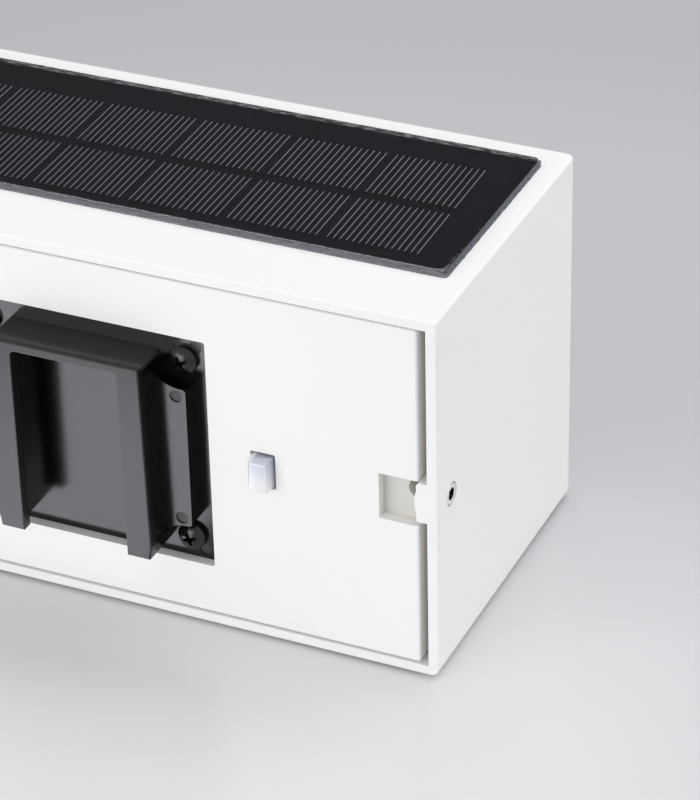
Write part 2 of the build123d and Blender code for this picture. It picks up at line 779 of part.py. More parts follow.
with BuildPart() as controller_chip:
    with BuildSketch(back_plane(board_front_depth)):
        with Locations((chip_x, chip_z)):
            Rectangle(chip_width, chip_length)
    extrude(amount=-chip_height)
    chamfer(controller_chip.faces().sort_by(Axis.Y)[-1].edges(), chip_bevel)
    with BuildSketch(back_plane(board_front_depth)):
        with Locations((chip_x, chip_z)):
            with GridLocations(
                chip_width + 2 * chip_leg_reach, chip_length / chip_legs, 2, chip_legs
            ):
                Rectangle(chip_leg_length, leg_thickness)
    extrude(amount=-leg_thickness)
save(controller_chip.part, "controller_chip")

with BuildPart() as inductor:
    with BuildSketch(back_plane(board_front_depth)):
        with Locations((inductor_x, inductor_z)):
            RectangleRounded(inductor_size, inductor_size, inductor_corner)
    extrude(amount=-inductor_height)
    chamfer(inductor.faces().sort_by(Axis.Y)[-1].edges(), inductor_bevel)
save(inductor.part, "inductor")

with BuildPart() as capacitor:
    with BuildSketch(back_plane(board_front_depth)):
        with Locations((capacitor_x, capacitor_z)):
            Circle(capacitor_radius)
    extrude(amount=-capacitor_height)
    fillet(capacitor.faces().sort_by(Axis.Y)[-1].edges(), capacitor_edge_radius)
save(capacitor.part, "capacitor")

# ---------------------------------------- solar lead: plug, socket and two wires
wire_radius = 0.65
wire_pitch = 2.5
socket_x = lead_hole_x
socket_drop = 4.6  # its middle below the board's top edge
socket_z = board_top_z - socket_drop
socket_width = 7.4
socket_tall = 5.2
socket_length = 6.0
socket_wall = 0.8
plug_gap = 0.12
plug_corner = 0.3
plug_seat = 1.0  # plug's nose from the board
plug_length = 8.0
plug_end_depth = board_front_depth + plug_seat + plug_length

with BuildPart() as solar_socket:
    with BuildSketch(back_plane(board_front_depth)):
        with Locations((socket_x, socket_z)):
            Rectangle(socket_width, socket_tall)
    extrude(amount=-socket_length)
    with BuildSketch(back_plane(board_front_depth + socket_wall)):
        with Locations((socket_x, socket_z)):
            Rectangle(socket_width - 2 * socket_wall, socket_tall - 2 * socket_wall)
    extrude(amount=-(socket_length - socket_wall), mode=Mode.SUBTRACT)
save(solar_socket.part, "solar_socket")

with BuildPart() as solar_plug:
    with BuildSketch(back_plane(board_front_depth + plug_seat)):
        with Locations((socket_x, socket_z)):
            Rectangle(
                socket_width - 2 * socket_wall - 2 * plug_gap,
                socket_tall - 2 * socket_wall - 2 * plug_gap,
            )
    extrude(amount=-plug_length)
    fillet(solar_plug.edges().filter_by(Axis.Y), plug_corner)
save(solar_plug.part, "solar_plug")


def wire(points, radii):
    """Round wire along straight runs joined by tangent arcs, square to its first run."""
    with BuildPart() as lead:
        with BuildLine():
            route = FilletPolyline(*points, radius=radii)
        with BuildSketch(Plane(origin=route @ 0, z_dir=route % 0)):
            Circle(wire_radius)
        sweep()
    return lead.part


solar_bend = 5.0
for side, name in ((-1, "solar_lead_negative"), (1, "solar_lead_positive")):
    wire_x = socket_x + side * wire_pitch / 2
    save(
        wire(
            [
                (wire_x, place_y(plug_end_depth), socket_z),
                (wire_x, place_y(lead_hole_depth), socket_z),
                (wire_x, place_y(lead_hole_depth), panel_base_z),
            ],
            [solar_bend],
        ),
        name,
    )

# ---------------------------------------- chassis: tray on the cover for battery and light
tray_bottom_z = 15.6
tray_top_z = tray_bottom_z + moulded_wall
tray_front_depth = 62.0
rear_wall_rise = 7.5  # above the chassis screws
rear_wall_top_z = chassis_screw_z + rear_wall_rise
slot_inset = 5.0  # slot that the LED leads rise through, from the tray's end
slot_depth = 41.0
slot_length = 6.0
slot_width = 6.0
slot_x = tray_half - slot_inset

led_board_inset = 11.0  # its end from the tray's
led_board_width = 22.0
led_board_depth = 40.0  # its middle
led_board_thickness = 1.6
led_board_bottom_z = tray_bottom_z - led_board_thickness
light_screw_radius = 1.2
light_screw_length = 7.0
light_head_radius = 2.3
light_head_height = 1.6
light_screw_inset = 4.0  # from the LED board's end
light_screw_pitch_y = 17.0
light_boss_radius = 2.6
light_boss_height = 2.5
reflector_rim = 1.0
led_board_half = tray_half - led_board_inset
light_screw_x = led_board_half - light_screw_inset
light_pilot_length = light_screw_length - reflector_rim - led_board_thickness

with BuildPart() as chassis:
    with BuildSketch(level(tray_bottom_z)):
        with Locations((0, place_y((chassis_depth + tray_front_depth) / 2))):
            RectangleRounded(2 * tray_half, tray_front_depth - chassis_depth, slot_corner)
    extrude(amount=moulded_wall)
    with BuildSketch(back_plane(chassis_depth)):
        with Locations((0, tray_bottom_z)):
            Rectangle(
                2 * tray_half, rear_wall_top_z - tray_bottom_z, align=(Align.CENTER, Align.MIN)
            )
    extrude(amount=-moulded_wall)
    # bosses that the light's screws bite into
    with BuildSketch(level(tray_top_z)):
        with Locations((0, place_y(led_board_depth))):
            with GridLocations(2 * light_screw_x, light_screw_pitch_y, 2, 2):
                Circle(light_boss_radius)
    extrude(amount=light_boss_height)
    # holes: chassis screws, light screws, lead slot
    with BuildSketch(back_plane(chassis_depth)):
        with Locations(*chassis_screw_points):
            Circle(chassis_screw_radius + through_clearance)
    extrude(amount=-moulded_wall, mode=Mode.SUBTRACT)
    with BuildSketch(level(tray_bottom_z)):
        with Locations((0, place_y(led_board_depth))):
            with GridLocations(2 * light_screw_x, light_screw_pitch_y, 2, 2):
                Circle(light_screw_radius + screw_clearance)
    extrude(amount=light_pilot_length, mode=Mode.SUBTRACT)
    with BuildSketch(level(tray_bottom_z)):
        with Locations((slot_x, place_y(slot_depth))):
            RectangleRounded(slot_length, slot_width, slot_corner)
    extrude(amount=moulded_wall, mode=Mode.SUBTRACT)
save(chassis.part, "chassis")

chassis_screw_shape = pan_head_screw(
    chassis_head_radius, chassis_head_height, chassis_screw_radius, chassis_screw_length
)
with BuildPart() as chassis_screws:
    with Locations(front_plane(chassis_depth + moulded_wall)):
        with Locations(*chassis_screw_points):
            add(chassis_screw_shape)
save(chassis_screws.part, "chassis_screws")

# ---------------------------------------- light: board, LEDs and reflector under the tray
led_count = 8
led_end_gap = 0.75  # outer LEDs to the reflector's ends
led_length = 3.5
led_width = 2.8
led_height = 0.8
reflector_wall = 1.2
reflector_end_inset = 10.0  # its opening's end from the LED board's, with the screws between
reflector_top_width = 13.0
reflector_flare_x = 8.0
reflector_flare_y = 9.0
reflector_clear = 1.3  # its lower edge above the diffuser
reflector_bottom_z = diffuser_top + reflector_clear
reflector_top_half = led_board_half - reflector_end_inset
led_pitch = (2 * (reflector_top_half - led_end_gap) - led_length) / (led_count - 1)
led_y = place_y(led_board_depth)

with BuildPart() as led_board:
    with BuildSketch(level(led_board_bottom_z)):
        with Locations((0, led_y)):
            RectangleRounded(2 * led_board_half, led_board_width, slot_corner)
            with GridLocations(2 * light_screw_x, light_screw_pitch_y, 2, 2):
                Circle(light_screw_radius + through_clearance, mode=Mode.SUBTRACT)
    extrude(amount=led_board_thickness)
save(led_board.part, "led_board")

with BuildPart() as leds:
    with BuildSketch(level(led_board_bottom_z)):
        with Locations((0, led_y)):
            with GridLocations(led_pitch, 1, led_count, 1):
                Rectangle(led_length, led_width)
    extrude(amount=-led_height)
save(leds.part, "leds")

with BuildPart() as reflector:
    rim_z = led_board_bottom_z - reflector_rim
    with BuildSketch(level(rim_z)):
        with Locations((0, led_y)):
            RectangleRounded(2 * led_board_half, led_board_width, slot_corner)
            with GridLocations(2 * light_screw_x, light_screw_pitch_y, 2, 2):
                Circle(light_screw_radius + through_clearance, mode=Mode.SUBTRACT)
    extrude(amount=reflector_rim)
    # flared skirt: outer loft less inner loft
    with BuildSketch(level(rim_z)):
        with Locations((0, led_y)):
            Rectangle(
                2 * (reflector_top_half + reflector_wall), reflector_top_width + 2 * reflector_wall
            )
    with BuildSketch(level(reflector_bottom_z)):
        with Locations((0, led_y)):
            Rectangle(
                2 * (reflector_top_half + reflector_flare_x + reflector_wall),
                reflector_top_width + 2 * (reflector_flare_y + reflector_wall),
            )
    loft()
    with BuildSketch(level(led_board_bottom_z)):
        with Locations((0, led_y)):
            Rectangle(2 * reflector_top_half, reflector_top_width)
    with BuildSketch(level(reflector_bottom_z)):
        with Locations((0, led_y)):
            Rectangle(
                2 * (reflector_top_half + reflector_flare_x),
                reflector_top_width + 2 * reflector_flare_y,
            )
    loft(mode=Mode.SUBTRACT)
save(reflector.part, "reflector")

light_screw_shape = pan_head_screw(
    light_head_radius, light_head_height, light_screw_radius, light_screw_length
)
with BuildPart() as light_screws:
    with Locations(Plane(origin=(0, led_y, rim_z), x_dir=(1, 0, 0), z_dir=(0, 0, -1))):
        with GridLocations(2 * light_screw_x, light_screw_pitch_y, 2, 2):
            add(light_screw_shape)
save(light_screws.part, "light_screws")

# ---------------------------------------- battery: two cells in a holder on the tray
cell_radius = 9.15
cell_body = 65.0
cell_gap = 1.2  # between the two cells
cell_end_gap = 2.2  # room for a contact at each end
cell_cap_radius = 3.0
cell_cap_height = 1.2
cell_edge_radius = 0.8
cell_lift = 0.1  # off the holder's floor
holder_wall = 1.4
holder_x = -16.0  # its middle
holder_depth = 39.5  # its middle
holder_side_height = 13.0
holder_corner = 1.5
holder_play = 0.3  # beside each cell
holder_feet_height = 0.3  # over the light's bosses
holder_foot_radius = 2.5
holder_foot_inset_x = 12.0  # clear of the light's bosses
holder_foot_inset_y = 4.0
holder_base_z = tray_top_z + light_boss_height + holder_feet_height
holder_inner_length = cell_body + 2 * cell_end_gap
holder_inner_width = 4 * cell_radius + cell_gap + 2 * holder_play
contact_thickness = 0.4
contact_width = 7.5
contact_dome_radius = 2.2
contact_play = 0.1  # dome to cell
tab_width = 3.0
tab_reach = 1.6  # past the holder's end wall
battery_pitch = 2 * cell_radius + cell_gap
battery_z = holder_base_z + holder_wall + cell_radius + cell_lift
holder_y = place_y(holder_depth)
holder_right_x = holder_x + holder_inner_length / 2

with BuildPart() as battery_holder:
    with BuildSketch(level(holder_base_z)):
        with Locations((holder_x, holder_y)):
            RectangleRounded(
                holder_inner_length + 2 * holder_wall,
                holder_inner_width + 2 * holder_wall,
                holder_corner,
            )
    extrude(amount=holder_side_height + holder_wall)
    with BuildSketch(level(holder_base_z + holder_wall)):
        with Locations((holder_x, holder_y)):
            Rectangle(holder_inner_length, holder_inner_width)
    extrude(amount=holder_side_height, mode=Mode.SUBTRACT)
    # feet that stand on the tray
    with BuildSketch(level(tray_top_z)):
        with Locations((holder_x, holder_y)):
            with GridLocations(
                holder_inner_length - 2 * holder_foot_inset_x,
                holder_inner_width - 2 * holder_foot_inset_y,
                2,
                2,
            ):
                Circle(holder_foot_radius)
    extrude(amount=holder_base_z - tray_top_z)
save(battery_holder.part, "battery_holder")

with BuildPart() as battery_cells:
    with BuildSketch(Plane.YZ.offset(holder_x - cell_body / 2)):
        with Locations((holder_y, battery_z)):
            with GridLocations(battery_pitch, 1, 2, 1):
                Circle(cell_radius)
    extrude(amount=cell_body - cell_cap_height)
    fillet(battery_cells.edges().filter_by(GeomType.CIRCLE), cell_edge_radius)
    # raised contact caps: one cell's at each end
    with BuildSketch(Plane.YZ.offset(holder_x + cell_body / 2 - cell_cap_height)):
        with Locations((holder_y - battery_pitch / 2, battery_z)):
            Circle(cell_cap_radius)
    extrude(amount=cell_cap_height)
save(battery_cells.part, "battery_cells")

with BuildPart() as battery_contacts:
    contact_y = [holder_y - battery_pitch / 2, holder_y + battery_pitch / 2]
    # right end: two plates, each with a soldering tab through the holder's wall top
    with BuildSketch(Plane.YZ.offset(holder_right_x - contact_thickness)):
        with Locations(*[(y, battery_z) for y in contact_y]):
            Rectangle(contact_width, contact_width)
    extrude(amount=contact_thickness)
    # left end: one plate that links the two cells
    with BuildSketch(Plane.YZ.offset(holder_x - holder_inner_length / 2)):
        with Locations((holder_y, battery_z)):
            Rectangle(battery_pitch + contact_width, contact_width)
    extrude(amount=contact_thickness)
    # pressed domes that touch the cells
    with BuildSketch(Plane.YZ.offset(holder_x - holder_inner_length / 2)):
        with Locations(*[(y, battery_z) for y in contact_y]):
            Circle(contact_dome_radius)
    extrude(amount=cell_end_gap - contact_play)
    with BuildSketch(Plane.YZ.offset(holder_right_x)):
        with Locations((contact_y[0], battery_z)):
            Circle(contact_dome_radius)
    extrude(amount=-(cell_end_gap - contact_play))
    with BuildSketch(Plane.YZ.offset(holder_right_x)):
        with Locations((contact_y[1], battery_z)):
            Circle(contact_dome_radius)
    extrude(amount=-(cell_end_gap + cell_cap_height - contact_play))
    # tabs over the holder's end wall
    tab_z = holder_base_z + holder_wall + holder_side_height
    with BuildSketch(Plane.YZ.offset(holder_right_x - contact_thickness)):
        with Locations(*[(y, battery_z) for y in contact_y]):
            Rectangle(
                tab_width, tab_z + contact_thickness - battery_z, align=(Align.CENTER, Align.MIN)
            )
    extrude(amount=contact_thickness)
    with BuildSketch(level(tab_z)):
        with Locations(*[(holder_right_x - contact_thickness, y) for y in contact_y]):
            Rectangle(
                contact_thickness + holder_wall + tab_reach,
                tab_width,
                align=(Align.MIN, Align.CENTER),
            )
    extrude(amount=contact_thickness)
save(battery_contacts.part, "battery_contacts")

# ---------------------------------------- inner leads, soldered to the board
lead_bend = 4.0
pad_pitch = 3.0
battery_pad_from_left = 3.0
battery_pad_from_bottom = 11.5
led_pad_from_bottom = 6.0
battery_pad_x = [board_left_x + battery_pad_from_left + step * pad_pitch for step in (0, 1)]
battery_pad_z = board_bottom_z + battery_pad_from_bottom
tab_pad_reach = 1.0  # where the lead is soldered, past the holder's end wall
tab_end_x = holder_right_x + holder_wall + tab_pad_reach
lead_start_z = tab_z + contact_thickness
for index, name in ((0, "battery_lead_positive"), (1, "battery_lead_negative")):
    turn_x = battery_pad_x[index]
    save(
        wire(
            [
                (tab_end_x, contact_y[index], lead_start_z),
                (tab_end_x, contact_y[index], battery_pad_z),
                (turn_x, contact_y[index], battery_pad_z),
                (turn_x, place_y(board_front_depth), battery_pad_z),
            ],
            [lead_bend, lead_bend],
        ),
        name,
    )

led_pad_z = [board_bottom_z + led_pad_from_bottom + step * pad_pitch for step in (0, 1)]
led_lead_half_pitch = 1.3
led_lead_y = [place_y(slot_depth + side * led_lead_half_pitch) for side in (-1, 1)]
led_lead_z = led_board_bottom_z + led_board_thickness / 2
for index, name in ((0, "led_lead_positive"), (1, "led_lead_negative")):
    save(
        wire(
            [
                (led_board_half, led_lead_y[index], led_lead_z),
                (slot_x, led_lead_y[index], led_lead_z),
                (slot_x, led_lead_y[index], led_pad_z[index]),
                (slot_x, place_y(board_front_depth), led_pad_z[index]),
            ],
            [lead_bend, lead_bend],
        ),
        name,
    )
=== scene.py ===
import bmesh
import math
import bpy
from mathutils import Matrix, Vector


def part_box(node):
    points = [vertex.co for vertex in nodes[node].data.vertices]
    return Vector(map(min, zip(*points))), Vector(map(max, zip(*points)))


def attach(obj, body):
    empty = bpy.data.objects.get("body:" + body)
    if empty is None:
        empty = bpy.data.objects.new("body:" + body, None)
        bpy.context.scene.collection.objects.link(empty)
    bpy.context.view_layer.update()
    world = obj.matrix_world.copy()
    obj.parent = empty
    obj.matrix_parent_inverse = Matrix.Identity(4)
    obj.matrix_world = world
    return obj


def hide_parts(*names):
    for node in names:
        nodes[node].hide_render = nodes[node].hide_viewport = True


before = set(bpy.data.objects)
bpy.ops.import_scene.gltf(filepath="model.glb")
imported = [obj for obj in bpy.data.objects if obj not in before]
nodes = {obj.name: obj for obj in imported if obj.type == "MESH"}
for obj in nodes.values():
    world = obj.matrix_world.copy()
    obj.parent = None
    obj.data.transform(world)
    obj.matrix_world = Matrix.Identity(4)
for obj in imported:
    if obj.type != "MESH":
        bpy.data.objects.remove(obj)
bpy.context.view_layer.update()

# ---------------------------------------------------------------- camera
# The light is seen from its mounting side, a little from the right and well from above, through a long
# lens. The lens and place follow from how the real edges of the housing run together in the picture.
camera_place = (0.29364, -0.54508, 0.40753)
camera_azimuth = math.radians(24.74)
camera_elevation = math.radians(31.65)
camera_roll = math.radians(-1.367)
bpy.ops.object.select_all(action="DESELECT")
bpy.ops.object.camera_add(location=camera_place)
camera = bpy.context.active_object
turn = Matrix.Rotation(camera_azimuth, 4, "Z")
tilt = Matrix.Rotation(math.pi / 2 - camera_elevation, 4, "X")
roll = Matrix.Rotation(camera_roll, 4, "Z")
camera.matrix_world = Matrix.Translation(camera_place) @ turn @ tilt @ roll
camera.data.lens = 158.68
camera.data.sensor_width = 36.0
camera.data.clip_start = 0.01
camera.data.clip_end = 20.0
bpy.context.scene.camera = camera
bpy.context.scene.view_settings.view_transform = "Standard"


# ---------------------------------------------------------------- table top and studio light
# A pale satin table top with a pool of light painted into its colour, palest just in front of the light and
# dimmer further off, under a wide soft box that hangs a little behind the light, with a low front light and a
# low side light. A card that lies on the table shows only in glossy surfaces.
class Field:
    """A node socket in a material, so that what changes over a surface is written as plain arithmetic."""

    def __init__(self, tree, socket=None):
        self.tree = tree
        self.socket = socket

    def node(self, kind, settings=None, inputs=None, output=0):
        """Adds a node: its settings first, then the values or links of its sockets."""
        made = self.tree.nodes.new(kind)
        for name, value in (settings or {}).items():
            setattr(made, name, value)
        for name, value in (inputs or {}).items():
            if isinstance(value, Field):
                self.tree.links.new(value.socket, made.inputs[name])
            else:
                made.inputs[name].default_value = value
        return Field(self.tree, made.outputs[output])

    def math(self, operation, *values):
        return self.node("ShaderNodeMath", {"operation": operation}, dict(enumerate(values)))

    def __add__(self, other):
        return self.math("ADD", self, other)

    def __sub__(self, other):
        return self.math("SUBTRACT", self, other)

    def __rsub__(self, other):
        return self.math("SUBTRACT", other, self)

    def __mul__(self, other):
        return self.math("MULTIPLY", self, other)

    def __truediv__(self, other):
        return self.math("DIVIDE", self, other)

    __radd__ = __add__
    __rmul__ = __mul__

    def __abs__(self):
        return self.math("ABSOLUTE", self)

    def split(self):
        """The X, Y and Z of a place."""
        outputs = self.node("ShaderNodeSeparateXYZ", {}, {0: self}).socket.node.outputs
        return [Field(self.tree, outputs[i]) for i in range(3)]

    def mapped(self, centre=(0, 0, 0), turn=(0, 0, 0), scale=(1, 1, 1)):
        """The place as seen from a centre, turned and stretched."""
        settings = {"vector_type": "TEXTURE"}
        inputs = {"Vector": self, "Location": centre, "Rotation": turn, "Scale": scale}
        return self.node("ShaderNodeMapping", settings, inputs)

    def step(self, start, end):
        """0 up to start, 1 from end on, smooth between them. It falls where start is the larger."""
        low, high, first, last = (start, end, 0.0, 1.0) if start < end else (end, start, 1.0, 0.0)
        inputs = {"Value": self, "From Min": low, "From Max": high, "To Min": first, "To Max": last}
        return self.node("ShaderNodeMapRange", {"interpolation_type": "SMOOTHSTEP"}, inputs)

    def every(self, pitch):
        """Distance to the nearest whole multiple of a pitch."""
        return abs(self.math("WRAP", self, pitch / 2, -pitch / 2))

    def noise(self, scale, detail=2.0, roughness=0.5):
        """Cloudy noise from 0 to 1 at this place. Scale is in lumps for each metre."""
        inputs = {"Vector": self, "Scale": scale, "Detail": detail, "Roughness": roughness}
        return self.node("ShaderNodeTexNoise", {}, inputs)

    def blend(self, dark, light):
        """A colour from dark, where this is 0, to light, where it is 1."""
        inputs = {"Factor": self}
        for socket, colour in ((6, dark), (7, light)):
            inputs[socket] = colour if isinstance(colour, Field) else (*colour, 1.0)
        return self.node("ShaderNodeMix", {"data_type": "RGBA"}, inputs, 2)


def new_finish(name, **constants):
    """A material with one principled shader: its even values, and the place its patterns are drawn from."""
    material = bpy.data.materials.new(name)
    material.use_nodes = True
    shader = material.node_tree.nodes["Principled BSDF"]
    for socket, value in constants.items():
        shader.inputs[socket.replace("_", " ")].default_value = value
    place = Field(material.node_tree).node("ShaderNodeTexCoord", output=3)
    return material, shader, place


def feed(shader, **changing):
    """Links what changes over the surface to the shader."""
    for socket, field in changing.items():
        field.tree.links.new(field.socket, shader.inputs[socket.replace("_", " ")])


def relief(shader, height, depth):
    """Fine relief of this depth in metres, from a height that runs from 0 to 1."""
    feed(shader, Normal=height.node("ShaderNodeBump", {}, {"Height": height, "Distance": depth}))


table_half = 3.0
table_gap = 0.0007  # the lower face touches the table only here and there
# Painted light: the table's colour below is a painted pool of light, palest at its centre and dimmer further off.
table_painted_dimmest = (0.46, 0.466, 0.495)
table_painted_dim = (0.53, 0.537, 0.56)
table_painted_bright = (0.71, 0.717, 0.73)
painted_light_centre = (0.04, -0.06, 0.0)  # the palest spot
bpy.ops.mesh.primitive_plane_add(size=2 * table_half, location=(0, 0, -table_gap))
table = bpy.context.active_object
table.name = "table_top"
finish, shader, place = new_finish("table_top", Specular_IOR_Level=0.4)
offset = place.mapped(painted_light_centre)
away = offset.node("ShaderNodeVectorMath", {"operation": "LENGTH"}, {0: offset}, 1)
# painted pool of light: darker the further from its centre
painted_light_tint = away.step(0.34, 0.2).blend(table_painted_dimmest, table_painted_dim)
painted_light_tint = away.step(0.16, 0.02).blend(painted_light_tint, table_painted_bright)
feed(shader, Base_Color=painted_light_tint, Roughness=0.2 + 0.04 * place.noise(60.0))
table.data.materials.append(finish)

world = bpy.data.worlds.new("studio")
bpy.context.scene.world = world
world.use_nodes = True
world.node_tree.nodes["Background"].inputs["Color"].default_value = (0.985, 0.985, 0.985, 1.0)
sky = Field(world.node_tree).node("ShaderNodeTexCoord", output=0).split()
sky_strength = 0.82 - 0.7 * sky[1].step(0.45, 0.7)
world.node_tree.links.new(sky_strength.socket, world.node_tree.nodes["Background"].inputs["Strength"])


def soft_box(name, place, target, width, height, watts):
    """A rectangular lamp that faces a point of the object."""
    bpy.ops.object.light_add(type="AREA", location=place)
    lamp = bpy.context.active_object
    lamp.name = name
    lamp.data.shape = "RECTANGLE"
    lamp.data.size = width
    lamp.data.size_y = height
    lamp.data.energy = watts
    aim = Vector(target) - Vector(place)
    lamp.rotation_euler = aim.to_track_quat("-Z", "Y").to_euler()
    return lamp


middle = (0, 0, 0.04)
soft_box("overhead_box", (0.15, 0.55, 1.0), middle, 1.0, 0.8, 5.2)
soft_box("front_box", (-0.42, -1.0, 0.25), middle, 1.0, 0.5, 4.9)
soft_box("side_box", (1.1, 0.15, 0.42), middle, 0.8, 0.5, 3.1)
card_middle = Vector((-0.04, -0.0925, 0.001))
card = soft_box("table_card", card_middle, card_middle + Vector((0, 0, 1)), 0.1, 0.101, 0.098)
card.data.color = (0.93, 0.91, 1.0)
card.visible_diffuse = False
card.visible_camera = False
card.visible_transmission = False


# ---------------------------------------------------------------- housing
# The cast aluminium box, open at the back, with a white powder coat: a satin skin with a faint orange
# peel and a finer grain. The bosses for the set screws and the panel's recess are cast in.
def dress(finish, *names):
    """Puts a finish on pieces that come from the solid model."""
    for name in names:
        for slot in nodes[name].material_slots:
            slot.material = finish


finish, shader, place = new_finish("powder_coat", Specular_IOR_Level=0.4)
peel = place.noise(1500.0, 3.0)
grain = place.noise(5200.0, 2.0)
feed(
    shader,
    Base_Color=(0.5 * peel + 0.5 * grain).blend((0.835, 0.838, 0.838), (0.875, 0.876, 0.874)),
    Roughness=0.42 + 0.12 * grain,
)
relief(shader, 0.6 * peel + 0.4 * grain, 0.00003)
dress(finish, "housing")


# ---------------------------------------------------------------- solar panel
# A black board with two rows of blue-black cells under clear cast resin, ground at its edges, and laid
# in the housing's recess in a bead of clear sealant.
cell_turn = math.radians(1.1)
cell_centre = (0.0, 0.00605, 0.0)
cell_pitch = (0.021, 0.0193)
cell_size = (0.0202, 0.0174)
finger_pitch = 0.00133
finger_half_width = 0.00007
finger_reach = (0.0098, 0.0082)  # fingers end this far from the cell's middle

finish, shader, place = new_finish("solar_cell", Specular_IOR_Level=0.1, Roughness=0.4)
across, along, up = place.mapped(cell_centre, (0, 0, cell_turn)).split()
in_cell_x = (across + cell_pitch[0] / 2).math("WRAP", across, cell_pitch[0], 0.0) - cell_pitch[0] / 2
in_cell_y = along.math("WRAP", along, cell_pitch[1], 0.0) - cell_pitch[1] / 2
finger = in_cell_x.every(finger_pitch).step(finger_half_width * 1.3, finger_half_width * 0.7)
finger = finger * abs(in_cell_x).step(finger_reach[0] + 0.0001, finger_reach[0])
finger = finger * abs(in_cell_y).step(finger_reach[1] + 0.0001, finger_reach[1])
margin = 1 - abs(in_cell_x).step(cell_size[0] / 2 - 0.0004, cell_size[0] / 2 - 0.0007)
mottle = place.noise(2500.0, 3.0)
wafer = mottle.blend((0.0022, 0.0018, 0.0065), (0.0045, 0.0037, 0.012))
wafer = margin.blend(wafer, (0.006, 0.006, 0.022))
silver = mottle.blend((0.48, 0.48, 0.52), (0.72, 0.72, 0.74))
feed(shader, Base_Color=finger.blend(wafer, silver), Metallic=0.3 * finger)
dress(finish, "solar_cells")

finish, shader, place = new_finish("panel_board", Specular_IOR_Level=0.1, Roughness=0.5)
mottle = place.noise(1800.0, 3.0)
feed(shader, Base_Color=mottle.blend((0.0055, 0.0038, 0.009), (0.009, 0.0066, 0.0145)))
dress(finish, "panel_board")


def pick(piece, kind, test):
    """Selects the corners, edges or faces (kind VERT, EDGE or FACE) that pass a test, in edit mode."""
    bpy.ops.mesh.select_mode(type=kind)
    bpy.ops.mesh.select_all(action="DESELECT")
    form = bmesh.from_edit_mesh(piece.data)
    for element in {"VERT": form.verts, "EDGE": form.edges, "FACE": form.faces}[kind]:
        element.select_set(test(element))
    form.select_flush_mode()
    bmesh.update_edit_mesh(piece.data)


def level_at(height, slack=0.00002):
    """A test for faces and edges that lie at one height."""
    return lambda element: all(abs(vert.co.z - height) < slack for vert in element.verts)


def start(name, adder, scale=(1, 1, 1), **settings):
    """Adds a primitive with nothing else selected, stretches it and opens it for editing."""
    bpy.ops.object.select_all(action="DESELECT")
    adder(**settings)
    piece = bpy.context.active_object
    piece.name = name
    piece.data.name = name
    piece.scale = scale
    bpy.ops.object.transform_apply(location=True, rotation=True, scale=True)
    bpy.ops.object.mode_set(mode="EDIT")
    return piece


def finished(piece, body, finish, replaced, smooth_angle=35.0):
    """Closes a modelled piece: normals, smooth shading, finish, and what it rides on and stands for."""
    bpy.ops.mesh.select_mode(type="FACE")
    bpy.ops.mesh.select_all(action="SELECT")
    bpy.ops.mesh.remove_doubles(threshold=0.000002)
    bpy.ops.mesh.normals_make_consistent(inside=False)
    bpy.ops.object.mode_set(mode="OBJECT")
    bpy.ops.object.shade_smooth_by_angle(angle=math.radians(smooth_angle))
    piece.data.materials.clear()
    piece.data.materials.append(finish)
    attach(piece, body)
    for name in replaced:
        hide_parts(name)


def roughen(piece, group, lump, depth, direction="NORMAL"):
    """Uneven surface on a group of corners: lumps of this size, this deep."""
    clouds = bpy.data.textures.new(piece.name + "_lumps", "CLOUDS")
    clouds.noise_scale = lump
    modifier = piece.modifiers.new("lumps", "DISPLACE")
    modifier.texture = clouds
    modifier.texture_coords = "LOCAL"
    modifier.direction = direction
    modifier.strength = depth
    modifier.vertex_group = group
    bpy.ops.object.modifier_apply(modifier=modifier.name)


panel_low, panel_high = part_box("panel_glass")
board_low, board_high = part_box("panel_board")
panel_size = (panel_high.x - panel_low.x, panel_high.y - panel_low.y)
panel_middle = ((panel_high.x + panel_low.x) / 2, (panel_high.y + panel_low.y) / 2)
housing_top = panel_high.z - 0.0013
edge_step = 0.0007


def panel_sheet(name, grow, bottom):
    """A flat sheet with the panel's outline, grown all round, with finely divided edges."""
    piece = start(
        name,
        bpy.ops.mesh.primitive_plane_add,
        scale=(panel_size[0] + 2 * grow, panel_size[1] + 2 * grow, 1),
        size=1,
        location=(*panel_middle, bottom),
    )
    for side, radius in ((1, 0.0014), (-1, 0.0005)):
        pick(piece, "VERT", lambda vert: (vert.co.y - panel_middle[1]) * side > panel_size[1] * 0.4)
        bpy.ops.mesh.bevel(offset=radius + grow, segments=6, affect="VERTICES")
    for axis, length in ((0, panel_size[0]), (1, panel_size[1])):
        long_run = lambda edge: abs(edge.verts[0].co[axis] - edge.verts[1].co[axis]) > length * 0.7
        pick(piece, "EDGE", long_run)
        bpy.ops.mesh.subdivide(number_cuts=int(length / edge_step))
    return piece


glass_bottom = board_high.z - 0.00005  # the resin is cast onto the board
panel_bevel = 0.00015
piece = panel_sheet("panel_glass_plate", 0.0, glass_bottom)
pick(piece, "FACE", lambda face: True)
bpy.ops.mesh.extrude_region_move(TRANSFORM_OT_translate={"value": (0, 0, panel_high.z - glass_bottom)})
pick(piece, "EDGE", level_at(panel_high.z))
bpy.ops.mesh.bevel(offset=panel_bevel, segments=2, affect="EDGES")
bpy.ops.object.mode_set(mode="OBJECT")
ground_edge = piece.vertex_groups.new(name="ground_edge")
rim = [v.index for v in piece.data.vertices if panel_high.z - 0.0002 < v.co.z < panel_high.z - 0.00001]
ground_edge.add(rim, 1.0, "REPLACE")
roughen(piece, "ground_edge", 0.0006, -0.00005)
bpy.ops.object.mode_set(mode="EDIT")

